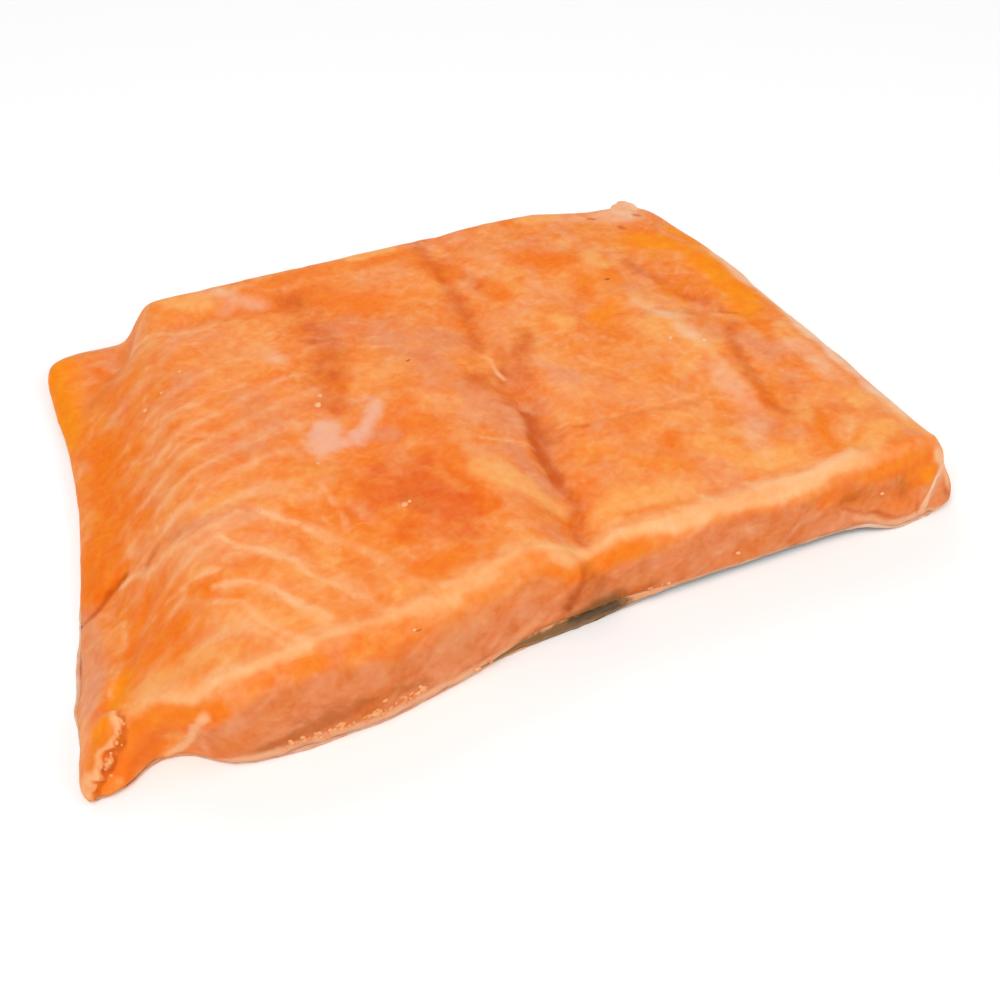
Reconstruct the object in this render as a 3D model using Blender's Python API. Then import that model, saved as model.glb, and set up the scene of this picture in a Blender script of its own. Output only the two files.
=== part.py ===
"""Portion of salmon fillet, flesh side up: the flesh and the skin that it lies on, as two solids.

Metres, +Z up. +X runs across the fillet along its near cut, from the thin belly side to the back,
and +Y along the fish, from the near cut to the far one. The portion rests on its skin, and the
origin is the middle of its footprint, on the ground. The form is worked out in millimetres.
A pair of numbers named as a span is where a smooth step starts and where it ends.
"""
from typing import NamedTuple

import bpy
import numpy as np

MM = 0.001

# Outline of the top, seen from above
NEAR_CUT_Y = -43.6
NEAR_BULGE = 5.0
NEAR_BULGE_X = -39.0
NEAR_BULGE_HALF = 23.0
FOLD_INSET = 1.8
FOLD_X = -60.0
FOLD_HALF = 6.0
FAR_CUT_Y = 48.8
FAR_BULGE = 1.0
FAR_BULGE_X = 38.0
FAR_BULGE_HALF = 18.0
FAR_BACK_INSET = 2.2
FAR_BACK_SPAN = (35, 55)
FAR_FLAP_OUT = 3.8
FAR_FLAP_SPAN = (-39, -47)
BELLY_X = -59.6
BELLY_FLARE = 0.16
BELLY_FLARE_Y = 18.0
BELLY_FLARE_SOFTNESS = 5.0
BELLY_RAGGED = 0.35
BELLY_RAGGED_PER_MM = 0.62
BELLY_RAGGED_Y = -36.0
BELLY_RAGGED_HALF = 14.0
BACK_X = 69.7
BACK_TAPER = 0.022
BACK_TAPER_Y = -25.0
BACK_CURVE = 0.0075
BACK_CURVE_Y = 20.0
CORNER_CUT_X = 0.022
CORNER_CUT_Y = 0.032
CORNER_POWER = 18
FOOTPRINT_MIDDLE = (0.54, 1.11)

# Thickness; spans of its changes along the fish are shares of the way to the far cut
LOIN_NEAR = 17.4
BACK_NEAR = 14.9
NEAR_STEP_SPAN = (-5, 7)
LOIN_FAR = 13.9
BACK_FAR = 12.0
FAR_STEP_SPAN = (22, 56)
LENGTH_SPAN = (-0.15, 1.1)
BELLY_NEAR = 8.5
BELLY_MID = 3.8
BELLY_FAR = 3.4
BELLY_NEAR_SPAN = (0, 0.24)
BELLY_FAR_SPAN = (0.7, 1)
SHELF_WIDTH = 13.5
SHELF_SPAN = (0.8, 1)
SLOPE_END_NEAR = 27.0
SLOPE_END = 20.0
SLOPE_END_SPAN = (0, 0.22)

# Rounding of the top's edges
BACK_ROUNDING = 9.0
BACK_DROP = 3.7
FAR_ROUNDING = 3.0
FAR_DROP = 0.9
BELLY_ROUNDING = 3.0
BELLY_DROP = 0.8

# Relief of the top; it fades out towards the belly edge and the far cut
GROOVE_DEPTH = 1.8
GROOVE_HALF = 2.9
GROOVE_FAR_SHARE = 0.35
GROOVE_FADE_SPAN = (-20, 25)
SEAM_DEPTH = 0.35
SEAM_HALF = 2.6
BACK_RIDGE_HEIGHT = 0.6
BACK_RIDGE_HALF = 3.6
CUT_RIDGE_HEIGHT = 0.45
CUT_RIDGE_IN = 0.6
CUT_RIDGE_HALF = 1.7
CUT_RIDGE_SPAN = (4, 16)
UNEVEN = 0.3
LONG_WAVES = ((0.11, 0.07, 0.6), (-0.05, 0.13, 1.1))
SHORT_WAVES = ((0.29, -0.21, 0.0), (0.23, 0.31, 0.8))
SHORT_WAVE_SHARE = 0.5
BELLY_FADE_SPAN = (0, 4)
FAR_FADE_SPAN = (-1, 3)

# Lines along the fish, as (y, x) from the near cut to the far one
GROOVE = ((-46, 3.4), (-38, 5.0), (-22, 9.2), (-8, 12.0), (6, 10.4), (20, 11.4), (48, 17.4))
SEAM = ((-46, -22.0), (-30, -20.8), (-16, -17.6), (6, -18.8), (28, -17.0), (48, -14.5))
BACK_RIDGE = ((-46, 51.2), (-24, 48.8), (-5, 46.0), (10, 42.2), (30, 39.0), (48, 38.0))

# Creases of the top: depth, half width and the (x, y) places that each runs through
CREASES = (
    (0.55, 1.3, ((14, -25.4), (24, -24.0), (35, -23.6), (52, -24.6))),
    (0.45, 1.2, ((44, 9.2), (52, 6.3), (60, 2.4))),
    (0.70, 1.5, ((-69, -22.0), (-61, -13.8), (-53, -8.0))),
    (0.60, 1.5, ((-67, -39.0), (-61, -28.2), (-56, -21.0))),
    (0.45, 1.3, ((-62, 13.5), (-55, 18.4))),
    (0.75, 1.4, ((-49, 38.9), (-36, 38.7), (-25, 37.9))),
)

# Flakes: the apex line of the muscle folds, the runs of their two legs, and where they show
FLAKE_PITCH = 7.6
FLAKE_DEPTH = 0.4
FLAKE_APEX = (-36.2, -17.2)
FLAKE_AXIS = (-0.47, -0.88)
FLAKE_BACK_LEG = (0.486, -0.874)
FLAKE_BELLY_LEG = (-0.948, -0.318)
FLAKE_ROUNDING = 2.5
FLAKES_BELLY_SPAN = (-66, -54)
FLAKES_SEAM_SPAN = (-19, -25)
FLAKES_FAR_SPAN = (34, 8)


class Side(NamedTuple):
    """How far a side stands out beyond the top's outline and tucks in again at its lower edge.

    The shoulder and the foot are the shares of the way down that these two take.
    """

    lean: float
    shoulder: float
    tuck: float
    foot: float


# Sides; spans and halves named as down are shares of the way down
NEAR_SIDE = Side(lean=3.1, shoulder=0.26, tuck=0.8, foot=0.20)
FAR_SIDE = Side(lean=1.6, shoulder=0.30, tuck=0.8, foot=0.20)
BELLY_SIDE = Side(lean=1.4, shoulder=0.50, tuck=0.7, foot=0.25)
BACK_SIDE = Side(lean=2.6, shoulder=0.55, tuck=2.0, foot=0.30)
SIDE_POWER = 22
FOOT_ROUNDNESS = 0.96
FOLD_LEAN_LOSS = 0.6
FOLD_DOWN_SPAN = (0, 0.7)
NEAR_BACK_LEAN_LOSS = 1.0
NEAR_BACK_SPAN = (0, 16)
NEAR_LIFT = 1.5
NEAR_LIFT_START = (6, 20)
NEAR_LIFT_END = (62, 54)
NEAR_LIFT_REACH = 9.0
NEAR_UNEVEN = 0.25
NEAR_UNEVEN_PER_MM = 0.35
BELLY_FOOT_OUT = 2.8
BELLY_FOOT_SPAN = (20, -44)
BELLY_FOOT_POWER = 1.5
HEEL_OUT = 2.0
HEEL_SPAN = (54, 60)
HEEL_DOWN_SPAN = (0.35, 0.8)

# Corners: a small lump, the ragged flap with its lip, and a tag of membrane, as (x, y) places
LUMP_AT = (70.0, -41.5)
LUMP_OUT = 2.1
LUMP_HALF = 3.6
LUMP_DOWN_SPAN = (0.5, 0.75)
FLAP_AT = (-68.5, -42.5)
FLAP_WAY = (-0.45, -0.9)
FLAP_OUT = 3.9
FLAP_HALF = 3.9
LIP_X = -66.0
LIP_OUT = 0.9
LIP_HALF = 1.3
LIP_DOWN = 0.3
LIP_DOWN_HALF = 0.45
TAG_AT = (61.0, 45.5)
TAG_OUT = 1.6
TAG_HALF = 3.6
TAG_DOWN = 0.12
TAG_DOWN_HALF = 0.16

# Skin, which turns up into view in the middle of the near cut
SKIN = 0.9
TURN_UP = 3.2
TURN_UP_X = 2.0
TURN_UP_HALF = 12.0
TURN_UP_POWER = 2.4
TURN_UP_REACH = 7.0
SKIN_INSET = 0.25
GAP = 0.3

# Mesh: the top's grid with (place, half, extra) where it is finer, then rings down and under
COLUMN_KNOTS = (-1.0, -0.30, 0.14, 0.66, 1.0)
COLUMNS = 66
FINER_COLUMNS = ((-1, 0.12, 1.4), (-0.7, 0.2, 0.4), (-0.3, 0.05, 0.5), (0.14, 0.08, 1.1), (1, 0.1, 1.4))
ROWS = 44
FINER_ROWS = ((-1, 0.06, 2.2), (1, 0.08, 1.6))
WALL_STEPS = (0.10, 0.24, 0.44, 0.66, 0.86, 1.0)
UNDER_INSETS = (0.035, 0.10, 0.20)

FLESH_COLOR = (0.85, 0.27, 0.07, 1.0)
FLESH_ROUGHNESS = 0.4
SKIN_COLOR = (0.16, 0.15, 0.11, 1.0)
SKIN_ROUGHNESS = 0.5


def rise(start, end, x):
    """Smooth step from 0 at start to 1 at end, which may lie on either side of it."""
    t = np.clip((x - start) / (end - start), 0, 1)
    return t * t * (3 - 2 * t)


def bump(x, centre, half, power=2):
    """Bell of height 1 round centre; a high power makes its top flat and its sides steep."""
    return np.exp(-np.abs((x - centre) / half) ** power)


def spot(x, y, place, half):
    """Round bell of height 1 over a place in plan."""
    return bump(np.hypot(x - place[0], y - place[1]), 0, half)


def blend(first, second, share):
    return first * (1 - share) + second * share


def rounded(distance, width):
    """From 0 at an edge to 1 at width inside it, along a quarter ellipse."""
    t = np.clip(1 - distance / width, 0, 1)
    return np.sqrt(1 - t * t)


def swell(x, y, waves):
    """Product of plane waves, each given by its radians per mm along x and y, and its phase."""
    out = 1.0
    for across, along, phase in waves:
        out = out * np.sin(across * x + along * y + phase)
    return out


def soft_line(points, at):
    """Smooth curve through (place, value) points, read at any places."""
    place, value = np.array(points, float).T
    slope = np.gradient(value, place)
    i = np.clip(np.searchsorted(place, at) - 1, 0, len(place) - 2)
    span = place[i + 1] - place[i]
    t = np.clip((at - place[i]) / span, 0, 1)
    out = value[i] * (1 + 2 * t) * (1 - t) ** 2 + value[i + 1] * t * t * (3 - 2 * t)
    return out + slope[i] * span * t * (1 - t) ** 2 - slope[i + 1] * span * t * t * (1 - t)


def distance_to_path(x, y, points):
    """Distance in plan to a path of straight runs."""
    best = np.full(np.shape(x), np.inf)
    for (x0, y0), (x1, y1) in zip(points[:-1], points[1:]):
        dx, dy = x1 - x0, y1 - y0
        t = np.clip(((x - x0) * dx + (y - y0) * dy) / (dx * dx + dy * dy), 0, 1)
        best = np.minimum(best, np.hypot(x - x0 - t * dx, y - y0 - t * dy))
    return best


def near_ridge(x):
    """Y of the near cut's top edge."""
    bulge = NEAR_BULGE * bump(x, NEAR_BULGE_X, NEAR_BULGE_HALF, 3)
    return NEAR_CUT_Y - bulge + FOLD_INSET * bump(x, FOLD_X, FOLD_HALF, 3)


def far_ridge(x):
    """Y of the far cut's top edge."""
    bulge = FAR_BULGE * bump(x, FAR_BULGE_X, FAR_BULGE_HALF)
    flap = FAR_FLAP_OUT * rise(*FAR_FLAP_SPAN, x)
    return FAR_CUT_Y + bulge - FAR_BACK_INSET * rise(*FAR_BACK_SPAN, x) + flap


def belly_line(y):
    """X of the belly side's top edge, which flares out towards the near cut."""
    flare = BELLY_FLARE * BELLY_FLARE_SOFTNESS * np.logaddexp(0, (BELLY_FLARE_Y - y) / BELLY_FLARE_SOFTNESS)
    ragged = BELLY_RAGGED * np.sin(y * BELLY_RAGGED_PER_MM) * bump(y, BELLY_RAGGED_Y, BELLY_RAGGED_HALF)
    return BELLY_X - flare + ragged


def back_line(y):
    """X of the back's top edge."""
    return BACK_X - BACK_TAPER * (y - BACK_TAPER_Y) - BACK_CURVE * np.maximum(0, y - BACK_CURVE_Y) ** 2


def column_x(u, y):
    """X of a column of the grid; the columns follow the seam, the groove and the back ridge."""
    inner = [soft_line(line, y) for line in (SEAM, GROOVE, BACK_RIDGE)]
    lines = [belly_line(y)] + inner + [back_line(y)]
    x = lines[0]
    for u0, u1, left, right in zip(COLUMN_KNOTS[:-1], COLUMN_KNOTS[1:], lines[:-1], lines[1:]):
        x = x + (right - left) * np.clip((u - u0) / (u1 - u0), 0, 1)
    return x


def plan_point(u, v):
    """Point of the top's outline or inside it, for u and v from -1 to 1."""
    column = u * (1 - CORNER_CUT_X * np.abs(v) ** CORNER_POWER)
    along = (v * (1 - CORNER_CUT_Y * np.abs(u) ** CORNER_POWER) + 1) / 2
    y = blend(NEAR_CUT_Y, FAR_CUT_Y, along)
    for _ in range(5):
        x = column_x(column, y)
        y = blend(near_ridge(x), far_ridge(x), along)
    return x, y


def flake_phase(x, y):
    """Distance along the apex line from fold to fold, the same all along one fold's two legs."""
    px, py = x - FLAKE_APEX[0], y - FLAKE_APEX[1]
    ax, ay = FLAKE_AXIS
    legs = []
    for lx, ly in (FLAKE_BACK_LEG, FLAKE_BELLY_LEG):
        legs.append((px * ly - py * lx) / (ax * ly - ay * lx))
    return -FLAKE_ROUNDING * np.logaddexp(-legs[0] / FLAKE_ROUNDING, -legs[1] / FLAKE_ROUNDING)


def slab_height(x, y):
    """Thickness of the portion without its relief: thin at the belly, thickest at the near cut."""
    along = np.clip((y - NEAR_CUT_Y) / (FAR_CUT_Y - NEAR_CUT_Y), 0, 1)
    belly = blend(BELLY_NEAR, BELLY_MID, rise(*BELLY_NEAR_SPAN, along))
    belly = blend(belly, BELLY_FAR, rise(*BELLY_FAR_SPAN, along))
    near = blend(LOIN_NEAR, BACK_NEAR, rise(*NEAR_STEP_SPAN, x))
    far = blend(LOIN_FAR, BACK_FAR, rise(*FAR_STEP_SPAN, x))
    inner = blend(near, far, rise(*LENGTH_SPAN, along))
    start = SHELF_WIDTH * rise(*SHELF_SPAN, along)
    end = blend(SLOPE_END_NEAR, SLOPE_END, rise(*SLOPE_END_SPAN, along))
    return blend(belly, inner, rise(start, end, x - belly_line(y)))


def flake_relief(x, y):
    """Depth of the flakes' seams."""
    shown = rise(*FLAKES_BELLY_SPAN, x) * rise(*FLAKES_SEAM_SPAN, x) * rise(*FLAKES_FAR_SPAN, y)
    return FLAKE_DEPTH * shown * (1 + np.cos(2 * np.pi * flake_phase(x, y) / FLAKE_PITCH)) / 2


def relief(x, y):
    """Groove, seam, ridge, creases, flakes and unevenness of the top, as a height to add."""
    fade = blend(1, GROOVE_FAR_SHARE, rise(*GROOVE_FADE_SPAN, y))
    out = BACK_RIDGE_HEIGHT * bump(x, soft_line(BACK_RIDGE, y), BACK_RIDGE_HALF)
    out = out - GROOVE_DEPTH * fade * bump(x, soft_line(GROOVE, y), GROOVE_HALF)
    out = out - SEAM_DEPTH * bump(x, soft_line(SEAM, y), SEAM_HALF)
    for depth, half, points in CREASES:
        out = out - depth * bump(distance_to_path(x, y, points), 0, half)
    uneven = swell(x, y, LONG_WAVES) + SHORT_WAVE_SHARE * swell(x, y, SHORT_WAVES)
    return out - flake_relief(x, y) + UNEVEN * uneven


def top_height(x, y):
    """Height of the top, with its relief and its rounded edges."""
    from_near, from_far = y - near_ridge(x), far_ridge(x) - y
    from_belly, from_back = x - belly_line(y), back_line(y) - x
    fade = rise(*BELLY_FADE_SPAN, from_belly) * rise(*FAR_FADE_SPAN, from_far)
    ridge = CUT_RIDGE_HEIGHT * bump(from_near, CUT_RIDGE_IN, CUT_RIDGE_HALF)
    ridge = ridge * rise(*CUT_RIDGE_SPAN, from_belly)
    height = slab_height(x, y) + relief(x, y) * fade + ridge
    height = height - BACK_DROP * (1 - rounded(from_back, BACK_ROUNDING))
    height = height - FAR_DROP * (1 - rounded(from_far, FAR_ROUNDING))
    return height - BELLY_DROP * (1 - rounded(from_belly, BELLY_ROUNDING))


def ground_height(x, y):
    """Height of the underside: on the ground but for the near cut's lifted lower edge."""
    lifted = rise(*NEAR_LIFT_START, x) * rise(*NEAR_LIFT_END, x)
    return NEAR_LIFT * lifted * rise(NEAR_LIFT_REACH, 0, y - near_ridge(x))


def skin_top(x, y):
    """Height of the skin's upper face."""
    turned = bump(x, TURN_UP_X, TURN_UP_HALF, TURN_UP_POWER) * rise(TURN_UP_REACH, 0, y - near_ridge(x))
    return ground_height(x, y) + SKIN + TURN_UP * turned


def edge_parameters(columns, rows):
    """U and v of the outline's points, once round from the near belly corner."""
    near = [(u, -1.0) for u in columns[:-1]]
    back = [(1.0, v) for v in rows[:-1]]
    far = [(u, 1.0) for u in columns[:0:-1]]
    belly = [(-1.0, v) for v in rows[:0:-1]]
    return np.array(near + back + far + belly)


def side_shares(u, v):
    """Share of the near, far, belly and back sides at the outline's points, blended at corners."""
    raw = [np.maximum(0, way) ** SIDE_POWER for way in (-v, v, -u, u)]
    return np.array(raw) / sum(raw)


def outward(x, y):
    """Unit normals of a closed outline that runs anticlockwise, averaged over near points."""
    tx = np.roll(x, -1) - np.roll(x, 1)
    ty = np.roll(y, -1) - np.roll(y, 1)
    length = np.hypot(tx, ty)
    nx, ny = ty / length, -tx / length
    for _ in range(2):
        nx = (np.roll(nx, 1) + 2 * nx + np.roll(nx, -1)) / 4
        ny = (np.roll(ny, 1) + 2 * ny + np.roll(ny, -1)) / 4
    length = np.hypot(nx, ny)
    return nx / length, ny / length


def plain_side_out(shares, x, down):
    """How far the sides stand out, without what belongs to one place of them."""
    lean, shoulder, tuck, foot = np.array((NEAR_SIDE, FAR_SIDE, BELLY_SIDE, BACK_SIDE)).T @ shares
    fold = shares[0] * bump(x, FOLD_X, FOLD_HALF, 3)
    lean = lean * (1 - FOLD_LEAN_LOSS * fold * rise(*FOLD_DOWN_SPAN, down))
    lean = lean - NEAR_BACK_LEAN_LOSS * shares[0] * rise(*NEAR_BACK_SPAN, x)
    above = np.clip(1 - down / shoulder, 0, 1)
    below = np.clip((down - 1) / foot + 1, 0, 1)
    return lean * (1 - above * above) - tuck * (1 - np.sqrt(1 - FOOT_ROUNDNESS * below * below))


def side_out(u, v, x, y, down):
    """How far the side stands out beyond the top's outline, at a share of its way down."""
    shares = side_shares(u, v)
    near, _, belly, _ = shares
    out = plain_side_out(shares, x, down)
    out = out + BELLY_FOOT_OUT * belly * rise(*BELLY_FOOT_SPAN, y) * down ** BELLY_FOOT_POWER
    out = out + LIP_OUT * near * bump(x, LIP_X, LIP_HALF) * bump(down, LIP_DOWN, LIP_DOWN_HALF)
    out = out + HEEL_OUT * near * rise(*HEEL_SPAN, x) * rise(*HEEL_DOWN_SPAN, down)
    out = out + LUMP_OUT * spot(x, y, LUMP_AT, LUMP_HALF) * rise(*LUMP_DOWN_SPAN, down)
    out = out + TAG_OUT * spot(x, y, TAG_AT, TAG_HALF) * bump(down, TAG_DOWN, TAG_DOWN_HALF)
    return out + NEAR_UNEVEN * near * np.sin(NEAR_UNEVEN_PER_MM * x + 1) * np.sin(np.pi * down)


class Outline:
    """Points of the top's outline, each or every second one, with what the sides need."""

    def __init__(self, columns, rows, step=1):
        u, v = edge_parameters(columns, rows).T
        x, y = plan_point(u, v)
        nx, ny = outward(x, y)
        self.u, self.v, self.x, self.y, self.nx, self.ny = (part[::step] for part in (u, v, x, y, nx, ny))
        self.top = top_height(self.x, self.y)
        self.ground = ground_height(self.x, self.y)
        self.skin = skin_top(self.x, self.y)

    def ring(self, height, inset=0.0):
        """Points of the sides at given heights."""
        down = np.clip((self.top - height) / (self.top - self.ground), 0, 1)
        out = side_out(self.u, self.v, self.x, self.y, down) - inset
        flap = FLAP_OUT * spot(self.x, self.y, FLAP_AT, FLAP_HALF) * rise(0, 1, down)
        x = self.x + self.nx * out + flap * FLAP_WAY[0]
        y = self.y + self.ny * out + flap * FLAP_WAY[1]
        return np.stack([x, y, height], 1)

    def inner_ring(self, inset, height_at):
        """Points inside the outline, at a height that depends on the place."""
        x, y = plan_point(self.u * (1 - inset), self.v * (1 - inset))
        return np.stack([x, y, height_at(x, y)], 1)


class Shell:
    """Points and faces of one closed solid."""

    def __init__(self):
        self.points = []
        self.faces = []

    def add(self, points):
        """Keep points, and return their numbers."""
        start = len(self.points)
        self.points.extend(map(tuple, points))
        return list(range(start, len(self.points)))

    def sheet(self, x, y, height):
        """Points and faces of a grid, seen from above; returns its edge's points, once round."""
        points = np.stack([x, y, height], 2).reshape(-1, 3)
        ids = np.array(self.add(points)).reshape(x.shape)
        for a, b, c, d in zip(ids[:-1, :-1].flat, ids[:-1, 1:].flat, ids[1:, 1:].flat, ids[1:, :-1].flat):
            self.faces.extend([(a, b, c), (a, c, d)])
        return [*ids[0, :-1], *ids[:-1, -1], *ids[-1, :0:-1], *ids[:0:-1, 0]]

    def band(self, upper, lower):
        """Faces between two rings of as many points, the first above the second."""
        for i in range(len(upper)):
            j = (i + 1) % len(upper)
            self.faces.append((upper[i], lower[i], lower[j]))
            self.faces.append((upper[i], lower[j], upper[j]))

    def halving_band(self, outer, inner):
        """Faces between a ring and one of half as many points."""
        for i in range(len(inner)):
            a, b, c = outer[2 * i], outer[2 * i + 1], outer[(2 * i + 2) % len(outer)]
            d, e = inner[i], inner[(i + 1) % len(inner)]
            self.faces.extend([(a, d, b), (b, d, e), (b, e, c)])


def spread(count, finer):
    """Places from -1 to 1, closer together round each (place, half, extra) given."""
    fine = np.linspace(-1, 1, 2001)
    density = 1 + sum(extra * bump(fine, place, half) for place, half, extra in finer)
    total = np.concatenate([[0], np.cumsum((density[1:] + density[:-1]) / 2)])
    return np.interp(np.linspace(0, total[-1], count), total, fine)


def flesh_floor(x, y):
    """Height of the flesh's underside, clear of the skin."""
    return skin_top(x, y) + GAP


def flesh_shell(columns, rows):
    """Top, sides, and an underside that follows the skin."""
    shell = Shell()
    x, y = plan_point(*np.meshgrid(columns, rows))
    upper = shell.sheet(x, y, top_height(x, y))
    outline = Outline(columns, rows)
    for step in WALL_STEPS:
        lower = shell.add(outline.ring(blend(outline.top, outline.skin + GAP, step)))
        shell.band(upper, lower)
        upper = lower
    half = Outline(columns, rows, 2)
    rings = [shell.add(half.inner_ring(inset, flesh_floor)) for inset in UNDER_INSETS]
    shell.halving_band(upper, rings[0])
    for outer, inner in zip(rings[:-1], rings[1:]):
        shell.band(outer, inner)
    shell.faces.append(tuple(rings[-1][::-1]))
    return shell


def skin_shell(columns, rows):
    """Sheet between the ground and the flesh, set in a little from the flesh's side."""
    shell = Shell()
    outline = Outline(columns, rows, 2)
    upper = [shell.add(outline.ring(outline.skin, SKIN_INSET))]
    lower = [shell.add(outline.ring(outline.ground, SKIN_INSET))]
    upper += [shell.add(outline.inner_ring(inset, skin_top)) for inset in UNDER_INSETS]
    lower += [shell.add(outline.inner_ring(inset, ground_height)) for inset in UNDER_INSETS]
    shell.band(upper[0], lower[0])
    for outer, inner in zip(upper[:-1], upper[1:]):
        shell.band(inner, outer)
    for outer, inner in zip(lower[:-1], lower[1:]):
        shell.band(outer, inner)
    shell.faces.append(tuple(upper[-1]))
    shell.faces.append(tuple(lower[-1][::-1]))
    return shell


def material(name, color, roughness):
    """Plain finish of one sub-part."""
    made = bpy.data.materials.new(name)
    made.use_nodes = True
    shader = made.node_tree.nodes["Principled BSDF"]
    shader.inputs["Base Color"].default_value = color
    shader.inputs["Roughness"].default_value = roughness
    shader.inputs["Metallic"].default_value = 0.0
    return made


def solid(name, shell, finish):
    """Object of a shell, in metres round the middle of the footprint."""
    points = (np.array(shell.points) - (*FOOTPRINT_MIDDLE, 0)) * MM
    mesh = bpy.data.meshes.new(name)
    mesh.from_pydata(points.tolist(), [], [tuple(map(int, face)) for face in shell.faces])
    mesh.validate()
    mesh.shade_smooth()
    mesh.materials.append(finish)
    bpy.context.scene.collection.objects.link(bpy.data.objects.new(name, mesh))


def main():
    """Remove what the scene holds, and build the flesh and the skin."""
    for old in list(bpy.data.objects):
        bpy.data.objects.remove(old, do_unlink=True)
    columns, rows = spread(COLUMNS, FINER_COLUMNS), spread(ROWS, FINER_ROWS)
    solid("salmon_flesh", flesh_shell(columns, rows), material("flesh", FLESH_COLOR, FLESH_ROUGHNESS))
    solid("salmon_skin", skin_shell(columns, rows), material("skin", SKIN_COLOR, SKIN_ROUGHNESS))


main()
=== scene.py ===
"""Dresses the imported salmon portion: relief, colours, ice rim, bubbles, specks, crumbs and membranes.

Places and sizes are given in millimetres, in the frame's own axes: +X runs across the fillet from the thin
belly side to the back, +Y along the fish from the near cut to the far one, and +Z up, out of the flesh side.
"""

import logging
import math
from dataclasses import dataclass, field
from enum import Enum

import bmesh
import bpy
import numpy as np
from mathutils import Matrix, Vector
from mathutils.bvhtree import BVHTree


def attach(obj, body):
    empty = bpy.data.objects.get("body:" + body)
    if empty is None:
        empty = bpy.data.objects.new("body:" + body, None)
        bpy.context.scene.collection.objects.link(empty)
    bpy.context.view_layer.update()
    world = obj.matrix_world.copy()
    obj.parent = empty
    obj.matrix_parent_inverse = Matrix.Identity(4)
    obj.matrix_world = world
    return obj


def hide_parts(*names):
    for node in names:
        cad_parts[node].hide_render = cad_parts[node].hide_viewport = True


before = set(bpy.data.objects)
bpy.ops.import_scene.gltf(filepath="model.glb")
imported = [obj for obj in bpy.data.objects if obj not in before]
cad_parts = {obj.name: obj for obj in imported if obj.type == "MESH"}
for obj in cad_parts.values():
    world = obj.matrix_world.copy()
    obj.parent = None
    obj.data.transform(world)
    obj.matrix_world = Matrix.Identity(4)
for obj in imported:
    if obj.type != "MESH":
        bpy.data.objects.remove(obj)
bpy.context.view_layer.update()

MM = 0.001
BODY = "root"
log = logging.getLogger("salmon")

Array = np.ndarray
Mesh = bpy.types.Mesh
Piece = bpy.types.Object
Material = bpy.types.Material
Tree = bpy.types.NodeTree
Socket = bpy.types.NodeSocket
Place = tuple[float, ...]
Path = tuple[Place, ...]

# type names of the nodes that come up often
NOISE, MATH, VECTOR_MATH, MAP_RANGE, MIX, ATTRIBUTE, BUMP = (
    "ShaderNode" + kind for kind in ("TexNoise", "Math", "VectorMath", "MapRange", "Mix", "Attribute", "Bump"))


def linear(code: str) -> tuple[float, float, float, float]:
    """Turn an sRGB hex colour, such as "#RRGGBB", into linear red, green, blue and an alpha of 1."""
    shares = (int(code[start:start + 2], 16) / 255 for start in (1, 3, 5))
    return (*(share / 12.92 if share <= 0.04045 else ((share + 0.055) / 1.055) ** 2.4 for share in shares), 1.0)


def add_node(tree: Tree, kind: str, values: dict | None = None, links: dict | None = None,
             **settings: object) -> bpy.types.Node:
    """Add one node with its settings, the values of its sockets and its incoming links.

    Args:
        tree: node tree that gets the node.
        kind: type name of the node.
        values: value of each input socket, by its name or number.
        links: output socket that feeds each input socket, by its name or number.
        **settings: attributes of the node itself.

    Returns:
        The new node.
    """
    node = tree.nodes.new(kind)
    for name, value in settings.items():
        setattr(node, name, value)
    for key, value in (values or {}).items():
        node.inputs[key].default_value = value
    for key, socket in (links or {}).items():
        tree.links.new(socket, node.inputs[key])
    return node


def toward(tree: Tree, colour: Socket, other: str, value: Socket, start: float, end: float, most: float,
           shown: Socket | None = None) -> Socket:
    """Turn a colour towards another one, more and more as a value goes from start to end.

    Args:
        tree: node tree of the material.
        colour: colour so far.
        other: colour to turn to, as "#RRGGBB".
        value: what decides how far.
        start: value at which the turn starts.
        end: value at which it is complete.
        most: how far it goes at most.
        shown: share by which the turn shows at each place, where it isn't 1.

    Returns:
        The new colour.
    """
    share = add_node(tree, MAP_RANGE, {1: start, 2: end, 3: 0.0, 4: most}, {0: value},
                     interpolation_type="SMOOTHSTEP").outputs[0]
    if shown:
        share = add_node(tree, MATH, links={0: share, 1: shown}, operation="MULTIPLY", use_clamp=True).outputs[0]
    return add_node(tree, MIX, {7: linear(other)}, {0: share, 6: colour}, data_type="RGBA").outputs[2]


def cloudy(tree: Tree, place: Socket, noise: dict[str, float], *stops: tuple[float, str]) -> tuple[Socket, Socket]:
    """Colour that drifts between tones with a noise.

    Args:
        tree: node tree of the material.
        place: Object coordinates.
        noise: values of the noise's sockets.
        *stops: noise value and hex colour of each tone, from the lowest value up.

    Returns:
        The colour, and the noise itself.
    """
    value = add_node(tree, NOISE, noise, {"Vector": place}).outputs["Fac"]
    ramp = add_node(tree, "ShaderNodeValToRGB", links={"Fac": value})
    tones = ramp.color_ramp.elements
    for tone, (at, code) in zip(tones, (stops[0], stops[-1])):
        tone.position, tone.color = at, linear(code)
    for at, code in stops[1:-1]:
        tones.new(at).color = linear(code)
    return ramp.outputs["Color"], value


def begin(name: str) -> tuple[Material, Tree, Socket]:
    """Start a material: itself, its node tree and its Object coordinates."""
    made = bpy.data.materials.new(name)
    made.use_nodes = True
    return made, made.node_tree, add_node(made.node_tree, "ShaderNodeTexCoord").outputs["Object"]


def dress(made: Material, values: dict[str, object], links: dict[str, Socket] | None = None) -> Material:
    """Set the sockets of a material's own shader.

    Args:
        made: the material.
        values: value of each constant socket.
        links: output socket that feeds each of the others.

    Returns:
        The same material.
    """
    shader = made.node_tree.nodes["Principled BSDF"].inputs
    for name, value in values.items():
        shader[name].default_value = value
    for name, socket in (links or {}).items():
        made.node_tree.links.new(socket, shader[name])
    return made


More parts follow.
